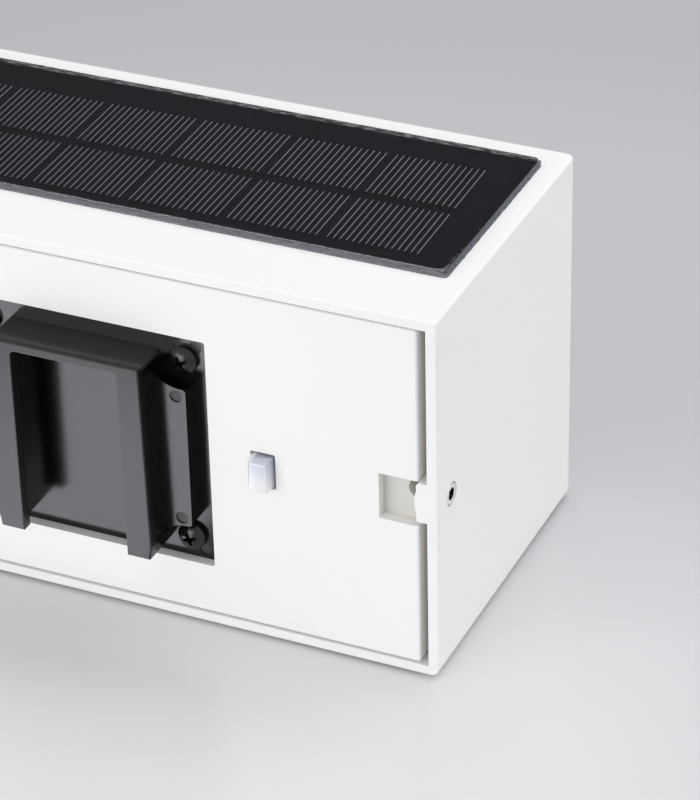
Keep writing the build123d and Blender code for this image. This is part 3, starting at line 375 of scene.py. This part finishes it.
finish, shader, place = new_finish("panel_glass", IOR=1.49, Transmission_Weight=1.0)
across, along, up = place.split()
side = up.step(panel_high.z - 0.0001, panel_high.z - 0.0003)
far_strip = along.step(panel_high.y - 0.0021, panel_high.y - 0.0013)
near_strip = along.step(panel_low.y + 0.0004, panel_low.y + 0.0001)
flecks = place.mapped(scale=(3.0, 0.6, 1.0)).noise(1400.0, 4.0, 0.65).step(0.42, 0.6)
fine_flecks = place.noise(3500.0, 3.0, 0.6).step(0.45, 0.6)
frosted = (far_strip * flecks * 0.45).math("MAXIMUM", far_strip * flecks * 0.45, side * fine_flecks * 0.25)
frosted = frosted.math("MAXIMUM", frosted, near_strip * fine_flecks * 0.6)
feed(shader, Roughness=0.03 + 0.25 * side, Base_Color=side.blend((0.97, 0.97, 1.0), (0.42, 0.42, 0.7)))
ground = Field(place.tree).node(
    "ShaderNodeBsdfPrincipled", {}, {"Base Color": (0.4, 0.4, 0.43, 1.0), "Roughness": 0.5}
)
plate = place.tree.nodes["Principled BSDF"].outputs[0]
mixed = frosted.node("ShaderNodeMixShader", {}, {0: frosted, 1: Field(place.tree, plate), 2: ground})
place.tree.links.new(mixed.socket, place.tree.nodes["Material Output"].inputs["Surface"])
finished(piece, "housing", finish, ["panel_glass"], 30.0)

bead_reach = 0.00045
bead_climb = 0.0006
piece = panel_sheet("panel_bead", bead_reach, board_low.z)
pick(piece, "FACE", lambda face: True)
bpy.ops.mesh.inset(thickness=bead_reach + 0.00003)
bpy.ops.mesh.delete(type="FACE")
bpy.ops.mesh.select_all(action="SELECT")
bpy.ops.mesh.extrude_region_move(
    TRANSFORM_OT_translate={"value": (0, 0, housing_top + 0.0001 - board_low.z)}
)
outline = (panel_size[0] / 2 + bead_reach * 0.4, panel_size[1] / 2 + bead_reach * 0.4)
inner_top = lambda vert: (
    vert.co.z > housing_top
    and abs(vert.co.x - panel_middle[0]) < outline[0]
    and abs(vert.co.y - panel_middle[1]) < outline[1]
)
pick(piece, "VERT", inner_top)
bpy.ops.transform.translate(value=(0, 0, bead_climb))
pick(piece, "FACE", lambda face: face.normal.z > 0.1 and face.calc_center_median().z > housing_top)
bpy.ops.mesh.subdivide(number_cuts=2)
bpy.ops.object.mode_set(mode="OBJECT")
lumpy = piece.vertex_groups.new(name="lumpy")
lumpy.add([v.index for v in piece.data.vertices if v.co.z > housing_top], 1.0, "REPLACE")
roughen(piece, "lumpy", 0.0011, 0.0005)
bpy.ops.object.mode_set(mode="EDIT")

finish, shader, place = new_finish("clear_sealant", IOR=1.42, Transmission_Weight=0.85)
haze = place.noise(1200.0, 3.0)
feed(shader, Base_Color=haze.blend((0.45, 0.5, 0.6), (0.85, 0.88, 0.95)), Roughness=0.05 + 0.3 * haze)
finished(piece, "housing", finish, ["panel_seal"], 60.0)


# ---------------------------------------------------------------- diffuser
# An opal acrylic plate in the window of the lower face, on a thin foam gasket. It is satin from the tool
# and lets the light of the LEDs through.
finish, shader, place = new_finish("opal", Specular_IOR_Level=0.5, Subsurface_Weight=0.35)
shader.inputs["Subsurface Radius"].default_value = (0.004, 0.0038, 0.0034)
haze = place.noise(220.0, 2.0)
stipple = place.noise(3800.0, 2.0)
feed(shader, Base_Color=haze.blend((0.83, 0.83, 0.81), (0.88, 0.88, 0.865)), Roughness=0.3 + 0.12 * stipple)
relief(shader, stipple, 0.00001)
dress(finish, "diffuser")

finish, shader, place = new_finish("foam", Specular_IOR_Level=0.2)
pores = place.noise(2600.0, 4.0, 0.7)
feed(shader, Base_Color=pores.blend((0.012, 0.012, 0.012), (0.05, 0.05, 0.052)), Roughness=0.8 + 0.15 * pores)
relief(shader, pores, 0.00015)
dress(finish, "diffuser_gasket", "cover_gasket")


# ---------------------------------------------------------------- back cover
# The white injection moulding that closes the back and carries all that slides out with it. Its face has
# a fine sparked texture. Shade is painted into its colour: creamier and darker down its sides behind the rim,
# and darker on the notches' floors.
rim_y = -0.03235
finish, shader, place = new_finish("cover_moulding", Specular_IOR_Level=0.4)
across, along, up = place.split()
# painted shade: creamier and darker the further behind the rim
depth = along.step(rim_y + 0.0004, rim_y + 0.0045)
sparked = place.noise(4600.0, 3.0, 0.6)
cloud = place.noise(90.0, 2.0)
white = (0.5 * sparked + 0.5 * cloud).blend((0.845, 0.842, 0.835), (0.88, 0.878, 0.87))
# painted shade: darker on the notches' floors
notch_floor_painted_shade = abs(along - rim_y - 0.0027).step(0.00012, 0.00006)
shaded = depth.blend(white, (0.77, 0.73, 0.655))
shaded = notch_floor_painted_shade.blend(shaded, (0.65, 0.635, 0.6))
feed(shader, Base_Color=shaded, Roughness=0.5 + 0.12 * sparked)
relief(shader, sparked, 0.00002)
dress(finish, "back_cover")


# ---------------------------------------------------------------- hanger
# A black moulding that slips down over a wall plate. The tool was polished, so that its flat faces
# mirror the table, with faint flow marks in the shine and matter ejector marks. Its faces above 60 mm,
# behind the front, carry painted light: they are painted paler.
hanger_low, hanger_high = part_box("hanger")
hanger_middle_z = (hanger_low.z + hanger_high.z) / 2
mark_radius = 0.00135
finish, shader, place = new_finish("hanger_moulding", IOR=1.5)
flow = place.mapped(scale=(1.0, 1.0, 4.0)).noise(160.0, 3.0, 0.6)
scuff = place.noise(1900.0, 3.0, 0.6)
across, along, up = place.split()
front_faces = along.step(-0.036, -0.039)
# painted light: faces above 60 mm behind the front are painted paler
upper_faces_painted_light = up.step(0.0592, 0.0602) * along.step(-0.0387, -0.0383)
marks = None
for out, rise in ((0.0214, 0.014), (0.02405, 0.02325)):
    from_mark = (abs(abs(across) - out) * abs(abs(across) - out)) + (
        abs(abs(up - hanger_middle_z) - rise) * abs(abs(up - hanger_middle_z) - rise)
    )
    disc = from_mark.step(mark_radius**2 * 1.08, mark_radius**2 * 0.94)
    marks = disc if marks is None else marks.math("MAXIMUM", marks, disc)
feed(
    shader,
    Base_Color=upper_faces_painted_light.blend(flow.blend((0.0012, 0.001, 0.0012), (0.0025, 0.0022, 0.003)), (0.036, 0.033, 0.036)),
    Roughness=0.1 + 0.1 * flow + 0.05 * scuff + 0.19 * front_faces + 0.22 * marks,
)
relief(shader, 0.7 * flow + 0.3 * scuff, 0.00004)
dress(finish, "hanger")

# Four black zinc-plated pan-head screws with a cross recess hold the hanger. Each was driven home to a
# turn of its own.
hanger_low, hanger_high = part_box("hanger_screws")
head_radius = 0.003
head_height = 0.0024
head_side = 0.0009
shank_radius = 0.00145
shank_length = 0.008
thread_pitch = 0.0011
thread_depth = 0.0003
cross_reach = 0.00185  # arm's end from the middle
cross_root = 0.00062  # half width of an arm where it meets the next one
cross_tip = 0.0003
cross_depth = 0.0015


def pan_head(name):
    """One screw with its head's seat on the floor and its shank below."""
    piece = start(
        name,
        bpy.ops.mesh.primitive_cylinder_add,
        vertices=48,
        radius=head_radius,
        depth=head_side,
        location=(0, 0, head_side / 2),
    )
    pick(piece, "FACE", lambda face: face.normal.z > 0.9)
    rings = 8
    dome = head_height - head_side
    ball = (head_radius**2 + dome**2) / (2 * dome)
    radii = [head_radius * math.cos(math.pi / 2 * i / rings) for i in range(rings)] + [head_radius * 0.04]
    for before, after in zip(radii, radii[1:]):
        rise = math.sqrt(ball**2 - after**2) - math.sqrt(ball**2 - before**2)
        bpy.ops.mesh.inset(thickness=before - after)
        bpy.ops.transform.translate(value=(0, 0, rise))
    pick(piece, "FACE", lambda face: face.normal.z < -0.9)
    bpy.ops.mesh.inset(thickness=head_radius - shank_radius + thread_depth)
    turns = int(shank_length / thread_pitch)
    for index in range(2 * turns):
        grow = 1 + thread_depth / (shank_radius - thread_depth)
        bpy.ops.mesh.extrude_region_move(TRANSFORM_OT_translate={"value": (0, 0, -thread_pitch / 2)})
        bpy.ops.transform.resize(value=(grow, grow, 1) if index % 2 == 0 else (1 / grow, 1 / grow, 1))
    bpy.ops.mesh.extrude_region_move(TRANSFORM_OT_translate={"value": (0, 0, -0.0003)})
    bpy.ops.transform.resize(value=(0.3, 0.3, 1))
    bpy.ops.object.mode_set(mode="OBJECT")
    for quarter in range(4):
        arm = start("arm", bpy.ops.mesh.primitive_cube_add, size=1, location=(0, 0, 0))
        pick(arm, "VERT", lambda vert: True)
        bpy.ops.transform.resize(value=(cross_reach, 1, 1))
        bpy.ops.transform.translate(value=(cross_reach / 2, 0, 0))
        for x_end, half in ((0, cross_root), (1, cross_tip)):
            for z_end, deep in ((0, 1.0), (1, 0.0)):
                test = lambda vert: (vert.co.x > cross_reach / 2) == bool(x_end) and (vert.co.z < 0) == (not z_end)
                pick(arm, "VERT", test)
                bpy.ops.transform.resize(value=(1, 2 * half * (0.55 if deep else 1.0), 1))
        pick(arm, "VERT", lambda vert: vert.co.z > 0)
        bpy.ops.transform.translate(value=(0, 0, head_height + 0.0005 - 0.5))
        pick(arm, "VERT", lambda vert: vert.co.z < 0)
        bpy.ops.transform.translate(value=(0, 0, head_height - cross_depth + 0.5))
        pick(arm, "VERT", lambda vert: vert.co.z < head_height and vert.co.x > cross_reach / 2)
        bpy.ops.transform.translate(value=(-cross_reach * 0.35, 0, 0))
        bpy.ops.object.mode_set(mode="OBJECT")
        arm.rotation_euler.z = quarter * math.pi / 2
        bpy.ops.object.transform_apply(location=True, rotation=True, scale=True)
        bpy.ops.object.select_all(action="DESELECT")
        piece.select_set(True)
        bpy.context.view_layer.objects.active = piece
        cut = piece.modifiers.new("cross", "BOOLEAN")
        cut.operation = "DIFFERENCE"
        cut.solver = "EXACT"
        cut.object = arm
        bpy.ops.object.modifier_apply(modifier=cut.name)
        bpy.data.objects.remove(arm)
    return piece


finish, shader, place = new_finish("black_screw", IOR=1.5)
pitting = place.noise(3200.0, 3.0, 0.6)
feed(
    shader,
    Base_Color=pitting.blend((0.003, 0.003, 0.003), (0.007, 0.007, 0.0075)),
    Roughness=0.12 + 0.14 * pitting,
)
relief(shader, pitting, 0.00002)
black_screw = finish

first_screw = pan_head("hanger_screw_1")
bpy.ops.object.mode_set(mode="EDIT")
bpy.ops.mesh.select_mode(type="FACE")
bpy.ops.mesh.select_all(action="SELECT")
bpy.ops.mesh.remove_doubles(threshold=0.000004)
bpy.ops.mesh.normals_make_consistent(inside=False)
bpy.ops.object.mode_set(mode="OBJECT")
bpy.ops.object.shade_smooth_by_angle(angle=math.radians(32))
screw_seat_y = -0.0302
screw_spots = [
    (0.0216, 0.0594, 27.0),
    (0.0216, 0.0188, 18.0),
    (-0.0216, 0.0594, 61.0),
    (-0.0216, 0.0188, 4.0),
]
shape = first_screw.data.copy()
for number, (x, z, degrees) in enumerate(screw_spots, 1):
    piece = first_screw
    if number > 1:
        piece = bpy.data.objects.new(f"hanger_screw_{number}", shape.copy())
        bpy.context.scene.collection.objects.link(piece)
    out_of_wall = Matrix.Rotation(math.pi / 2, 4, "X")
    own_turn = Matrix.Rotation(math.radians(degrees), 4, "Z")
    piece.data.transform(Matrix.Translation((x, screw_seat_y, z)) @ out_of_wall @ own_turn)
    piece.data.materials.clear()
    piece.data.materials.append(black_screw)
    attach(piece, "module")
    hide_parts("hanger_screws")


# ---------------------------------------------------------------- push button
# The milky cap of the switch stands out of its hole in the cover. Its end is narrower at the top, with
# sloping facets to a collar that keeps it in. Its colour carries painted light: a painted highlight along its
# front edges, a pale painted band down its left side, and painted shade, darker and bluer towards the top and
# deeper in its hole.
button_low, button_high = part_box("push_button")
button_x = (button_low.x + button_high.x) / 2
button_z = (button_low.z + button_high.z) / 2
button_half = (0.00215, 0.0034)
collar_front_y = button_high.y - 0.0013
facet_y = rim_y + 0.0002
piece = start(
    "button_cap",
    bpy.ops.mesh.primitive_cube_add,
    scale=(button_high.x - button_low.x, 0.0013, button_high.z - button_low.z),
    size=1,
    location=(button_x, button_high.y - 0.00065, button_z),
)
pick(piece, "FACE", lambda face: face.normal.y < -0.9)
bpy.ops.mesh.extrude_region_move(TRANSFORM_OT_translate={"value": (0, 0, 0)})
shrink = (2 * button_half[0] / (button_high.x - button_low.x), 2 * button_half[1] / (button_high.z - button_low.z))
bpy.ops.transform.resize(value=(shrink[0], 1, shrink[1]))
bpy.ops.mesh.extrude_region_move(TRANSFORM_OT_translate={"value": (0, facet_y - collar_front_y, 0)})
bpy.ops.mesh.extrude_region_move(TRANSFORM_OT_translate={"value": (0, button_low.y - facet_y, 0)})
left_of_ring = lambda vert: abs(vert.co.y - facet_y) < 0.00001 and vert.co.x < button_x
pick(piece, "VERT", left_of_ring)
bpy.ops.transform.translate(value=(0, -0.0023, 0))
front_moves = {(-1, 1): (0.0009, -0.0006), (1, 1): (-0.0006, -0.0006), (-1, -1): (0.0001, 0), (1, -1): (-0.0001, 0)}
for (side_x, side_z), (move_x, move_z) in front_moves.items():
    corner = lambda vert: (
        vert.co.y < button_low.y + 0.00001
        and (vert.co.x - button_x) * side_x > 0
        and (vert.co.z - button_z) * side_z > 0
    )
    pick(piece, "VERT", corner)
    bpy.ops.transform.translate(value=(move_x, 0, move_z))
pick(piece, "EDGE", lambda edge: all(vert.co.y < collar_front_y - 0.0001 for vert in edge.verts) and (
    abs(edge.verts[0].co.y - edge.verts[1].co.y) > 0.001 or edge.verts[0].co.y < button_low.y + 0.00001))
bpy.ops.mesh.bevel(offset=0.00022, segments=4, affect="EDGES")

finish, shader, place = new_finish("milky_moulding", IOR=1.49, Subsurface_Weight=0.25)
shader.inputs["Subsurface Radius"].default_value = (0.0012, 0.0014, 0.002)
across, along, up = place.split()
# painted shade: darker and bluer deeper in the hole and towards the top
inwards_painted_shade = along.step(button_low.y + 0.0002, rim_y + 0.0006)
upwards_painted_shade = up.step(button_z - 0.0026, button_z + 0.0034)
swirl = place.noise(900.0, 2.0)
milk = (upwards_painted_shade * 0.8 + swirl * 0.2).blend((0.85, 0.855, 0.87), (0.54, 0.575, 0.67))
deep = (upwards_painted_shade * 0.7 + 0.3 * swirl).blend((0.66, 0.68, 0.72), (0.4, 0.44, 0.53))
# painted highlight along the front edges
painted_edge_highlight = along.step(button_low.y + 0.00001, button_low.y + 0.00004) * along.step(
    button_low.y + 0.00032, button_low.y + 0.0002
)
# painted light: a pale band down the left side
left_side_painted_light = across.step(button_x - 0.001, button_x - 0.0016)
milk = left_side_painted_light.blend(inwards_painted_shade.blend(milk, deep), (0.8, 0.81, 0.83))
milk = painted_edge_highlight.blend(milk, (0.82, 0.84, 0.88))
feed(shader, Base_Color=milk, Roughness=0.18 + 0.1 * swirl)
finished(piece, "button", finish, ["push_button"], 50.0)

finish, shader, place = new_finish("switch_black", IOR=1.5)
grain = place.noise(2800.0, 2.0)
feed(shader, Base_Color=grain.blend((0.014, 0.014, 0.014), (0.026, 0.026, 0.027)), Roughness=0.35 + 0.2 * grain)
relief(shader, grain, 0.00001)
dress(finish, "switch_body", "switch_plunger")


# ---------------------------------------------------------------- set screws
# Two headless hex-socket screws in threads through the end walls: bright zinc, bevelled at the mouth.
finish, shader, place = new_finish("bright_zinc")
pitting = place.noise(4200.0, 3.0)
across, along, up = place.split()
# painted shade: a dark ring at the screw's rim and a black bore deep in its hex socket
from_axis = ((along + 0.02525) * (along + 0.02525) + (up - 0.0385) * (up - 0.0385)).math("SQRT", (
    (along + 0.02525) * (along + 0.02525) + (up - 0.0385) * (up - 0.0385)))
outline = from_axis.step(0.00222, 0.0024)
painted_shade_bore = from_axis.step(0.00146, 0.0014) * abs(across).step(0.07485, 0.0748)
shine = pitting.blend((0.86, 0.86, 0.87), (0.97, 0.97, 0.97))
shine = outline.blend(shine, (0.12, 0.11, 0.11))
feed(
    shader,
    Base_Color=painted_shade_bore.blend(shine, (0.012, 0.009, 0.009)),
    Metallic=0.75 - 0.3 * painted_shade_bore,
    Roughness=0.16 + 0.16 * pitting,
)
zinc = finish
screw_x_out = 0.07495
screw_x_in = 0.06995
screw_y = -0.02525
screw_z = 0.0385
screw_radius = 0.00245
hex_flats = 0.0025
for number, (name, side) in enumerate((("set_screw_right", 1), ("set_screw_left", -1))):
    piece = start(
        name + "_threaded",
        bpy.ops.mesh.primitive_cylinder_add,
        vertices=60,
        radius=screw_radius - 0.0003,
        depth=0.0002,
        location=(0, 0, -0.0001),
    )
    pick(piece, "FACE", lambda face: face.normal.z < -0.9)
    length = screw_x_out - screw_x_in
    crest = screw_radius / (screw_radius - 0.0003)
    turns = 6
    pitch = (length - 0.0011) / turns
    bpy.ops.transform.translate(value=(0, 0, -0.0002))
    bpy.ops.transform.resize(value=(crest, crest, 1))
    for index in range(2 * turns):
        bpy.ops.mesh.extrude_region_move(TRANSFORM_OT_translate={"value": (0, 0, -pitch / 2)})
        grow = 1 / crest if index % 2 == 0 else crest
        bpy.ops.transform.resize(value=(grow, grow, 1))
    bpy.ops.mesh.extrude_region_move(TRANSFORM_OT_translate={"value": (0, 0, -0.0007)})
    bpy.ops.transform.resize(value=(0.72, 0.72, 1))
    bpy.ops.mesh.inset(thickness=0.0003)
    bpy.ops.transform.translate(value=(0, 0, 0.0005))
    bpy.ops.object.mode_set(mode="OBJECT")
    socket = start(
        "socket",
        bpy.ops.mesh.primitive_cylinder_add,
        vertices=6,
        radius=hex_flats / math.sqrt(3),
        depth=0.0052,
        location=(0, 0, 0),
        rotation=(0, 0, math.radians(12)),
    )
    bpy.ops.object.mode_set(mode="OBJECT")
    bpy.ops.object.select_all(action="DESELECT")
    piece.select_set(True)
    bpy.context.view_layer.objects.active = piece
    cut = piece.modifiers.new("socket", "BOOLEAN")
    cut.operation = "DIFFERENCE"
    cut.solver = "EXACT"
    cut.object = socket
    bpy.ops.object.modifier_apply(modifier=cut.name)
    bpy.data.objects.remove(socket)
    out_of_end = Matrix.Rotation(side * math.pi / 2, 4, "Y")
    piece.data.transform(Matrix.Translation((side * screw_x_out, screw_y, screw_z)) @ out_of_end)
    bpy.ops.object.mode_set(mode="EDIT")
    finished(piece, name, zinc, [name], 25.0)


# ---------------------------------------------------------------- control board
# Green glass-fibre board on four bosses of the cover, with the switch, a chip, a choke, a capacitor and
# the solar lead's socket soldered on.
finish, shader, place = new_finish("circuit_board", IOR=1.5)
across, along, up = place.split()
weave = 0.5 * across.every(0.0006).step(0.0, 0.0003) + 0.5 * up.every(0.0006).step(0.0, 0.0003)
track = across.every(0.0031).step(0.0004, 0.0003) * place.mapped(scale=(1, 1, 4)).noise(170.0).step(0.5, 0.53)
cross_track = up.every(0.0043).step(0.0004, 0.0003) * place.mapped(scale=(4, 1, 1)).noise(150.0).step(0.5, 0.53)
copper = track.math("MAXIMUM", track, cross_track)
mask = weave.blend((0.004, 0.05, 0.018), (0.006, 0.06, 0.022))
feed(shader, Base_Color=copper.blend(mask, (0.015, 0.13, 0.045)), Roughness=0.3 + 0.1 * weave)
relief(shader, copper, 0.00004)
dress(finish, "control_board")

board_front_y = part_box("control_board")[1].y
chip_low, chip_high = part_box("controller_chip")
finish, shader, place = new_finish("chip")
across, along, up = place.split()
chip_x = (chip_low.x + chip_high.x) / 2
legs = abs(across - chip_x).step(0.00199, 0.00203)
grain = place.noise(5000.0, 2.0)
epoxy = grain.blend((0.012, 0.012, 0.012), (0.022, 0.022, 0.022))
feed(shader, Base_Color=legs.blend(epoxy, (0.7, 0.7, 0.7)), Metallic=legs, Roughness=0.6 - 0.35 * legs)
dress(finish, "controller_chip")

finish, shader, place = new_finish("ferrite", Specular_IOR_Level=0.3)
grain = place.noise(3600.0, 4.0, 0.7)
feed(shader, Base_Color=grain.blend((0.035, 0.035, 0.038), (0.085, 0.085, 0.09)), Roughness=0.6 + 0.2 * grain)
relief(shader, grain, 0.00004)
dress(finish, "inductor")

can_low, can_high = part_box("capacitor")
finish, shader, place = new_finish("capacitor_can")
across, along, up = place.split()
can_x = (can_low.x + can_high.x) / 2
can_z = (can_low.z + can_high.z) / 2
bare = along.step(can_high.y - 0.0005, can_high.y - 0.0003)
stripe = across.step(can_x + 0.0019, can_x + 0.0021)
score = abs(across - can_x).step(0.00012, 0.00006).math(
    "MAXIMUM", abs(across - can_x).step(0.00012, 0.00006), abs(up - can_z).step(0.00012, 0.00006)
)
sleeve = stripe.blend((0.012, 0.014, 0.03), (0.45, 0.45, 0.5))
metal = score.blend((0.75, 0.75, 0.76), (0.3, 0.3, 0.3))
feed(shader, Base_Color=bare.blend(sleeve, metal), Metallic=bare, Roughness=0.35 - 0.05 * bare)
relief(shader, 1 - bare * score, 0.0001)
dress(finish, "capacitor")

finish, shader, place = new_finish("nylon", IOR=1.5, Subsurface_Weight=0.1)
shader.inputs["Subsurface Radius"].default_value = (0.001, 0.0009, 0.0007)
grain = place.noise(1800.0, 2.0)
feed(shader, Base_Color=grain.blend((0.74, 0.72, 0.66), (0.82, 0.81, 0.77)), Roughness=0.4 + 0.1 * grain)
dress(finish, "solar_socket", "solar_plug")

finish, shader, place = new_finish("zinc_screw", Metallic=1.0)
pitting = place.noise(3800.0, 3.0)
feed(shader, Base_Color=pitting.blend((0.5, 0.5, 0.5), (0.66, 0.66, 0.65)), Roughness=0.25 + 0.15 * pitting)
dress(finish, "control_board_screws", "chassis_screws", "light_screws")


# ---------------------------------------------------------------- leads
# Thin stranded wires in red and black PVC from the panel, the battery and the light, soldered to the
# board or crimped in the plug.
for name, dark, light in (
    ("lead_red", (0.32, 0.01, 0.01), (0.5, 0.025, 0.02)),
    ("lead_black", (0.012, 0.012, 0.012), (0.025, 0.025, 0.026)),
):
    finish, shader, place = new_finish(name, IOR=1.5)
    waxy = place.noise(700.0, 3.0)
    feed(shader, Base_Color=waxy.blend(dark, light), Roughness=0.35 + 0.15 * waxy)
    relief(shader, waxy, 0.00004)
    sign = "positive" if name == "lead_red" else "negative"
    dress(finish, f"solar_lead_{sign}", f"battery_lead_{sign}", f"led_lead_{sign}")


# ---------------------------------------------------------------- chassis and battery
# A white moulded tray screwed to the cover's bosses carries a black holder with two rechargeable cells
# in printed shrink sleeves, between nickel-plated contacts.
finish, shader, place = new_finish("chassis_moulding", Specular_IOR_Level=0.4)
sparked = place.noise(3600.0, 3.0)
feed(shader, Base_Color=sparked.blend((0.76, 0.76, 0.75), (0.82, 0.82, 0.81)), Roughness=0.5 + 0.12 * sparked)
relief(shader, sparked, 0.00002)
dress(finish, "chassis")

finish, shader, place = new_finish("holder_moulding", IOR=1.5)
sparked = place.noise(3000.0, 3.0)
feed(shader, Base_Color=sparked.blend((0.016, 0.016, 0.016), (0.03, 0.03, 0.031)), Roughness=0.42 + 0.15 * sparked)
relief(shader, sparked, 0.00003)
dress(finish, "battery_holder")

cells_low, cells_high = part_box("battery_cells")
finish, shader, place = new_finish("cell_sleeve", IOR=1.5)
across, along, up = place.split()
left_end = across.step(cells_low.x + 0.0006, cells_low.x + 0.0004)
bare_end = left_end.math("MAXIMUM", left_end, across.step(cells_high.x - 0.0018, cells_high.x - 0.0016))
band = abs(across - cells_low.x - 0.012).step(0.0041, 0.0039)
wrinkle = place.mapped(scale=(0.2, 1, 1)).noise(500.0, 3.0)
colour = wrinkle.blend((0.03, 0.11, 0.30), (0.05, 0.16, 0.4))
colour = band.blend(colour, (0.75, 0.75, 0.75))
feed(shader, Base_Color=bare_end.blend(colour, (0.62, 0.61, 0.58)), Metallic=bare_end, Roughness=0.22 + 0.1 * wrinkle)
relief(shader, wrinkle, 0.00003)
dress(finish, "battery_cells")

finish, shader, place = new_finish("nickel", Metallic=1.0)
brushed = place.mapped(scale=(1, 1, 0.1)).noise(2500.0, 2.0)
feed(shader, Base_Color=brushed.blend((0.55, 0.54, 0.5), (0.68, 0.67, 0.63)), Roughness=0.2 + 0.15 * brushed)
dress(finish, "battery_contacts")


# ---------------------------------------------------------------- light
# Eight white LEDs on an aluminium board with a white solder mask, in a glossy white reflector that faces
# down at the diffuser.
finish, shader, place = new_finish("light_board", IOR=1.5)
across, along, up = place.split()
track = along.every(0.0055).step(0.0011, 0.0009) * place.noise(60.0).step(0.35, 0.4)
feed(shader, Base_Color=track.blend((0.8, 0.8, 0.79), (0.86, 0.86, 0.855)), Roughness=0.35 + 0.05 * place.noise(2000.0))
relief(shader, track, 0.00004)
dress(finish, "led_board")

led_low, led_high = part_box("leds")
led_pitch = 0.011
led_mid_y = (led_low.y + led_high.y) / 2
finish, shader, place = new_finish("led")
across, along, up = place.split()
from_middle = (across + led_pitch / 2).every(led_pitch)
lens = from_middle.step(0.0013, 0.0012) * abs(along - led_mid_y).step(0.001, 0.0009)
lens = lens * up.step(led_low.z + 0.0001, led_low.z + 0.00005)
feed(shader, Base_Color=lens.blend((0.85, 0.85, 0.84), (0.82, 0.6, 0.08)), Roughness=0.4 - 0.2 * lens)
dress(finish, "leds")

finish, shader, place = new_finish("reflector_finish", IOR=1.5)
ripple = place.noise(300.0, 2.0)
feed(shader, Base_Color=ripple.blend((0.83, 0.83, 0.83), (0.88, 0.88, 0.88)), Roughness=0.1 + 0.08 * ripple)
relief(shader, ripple, 0.00003)
dress(finish, "reflector")
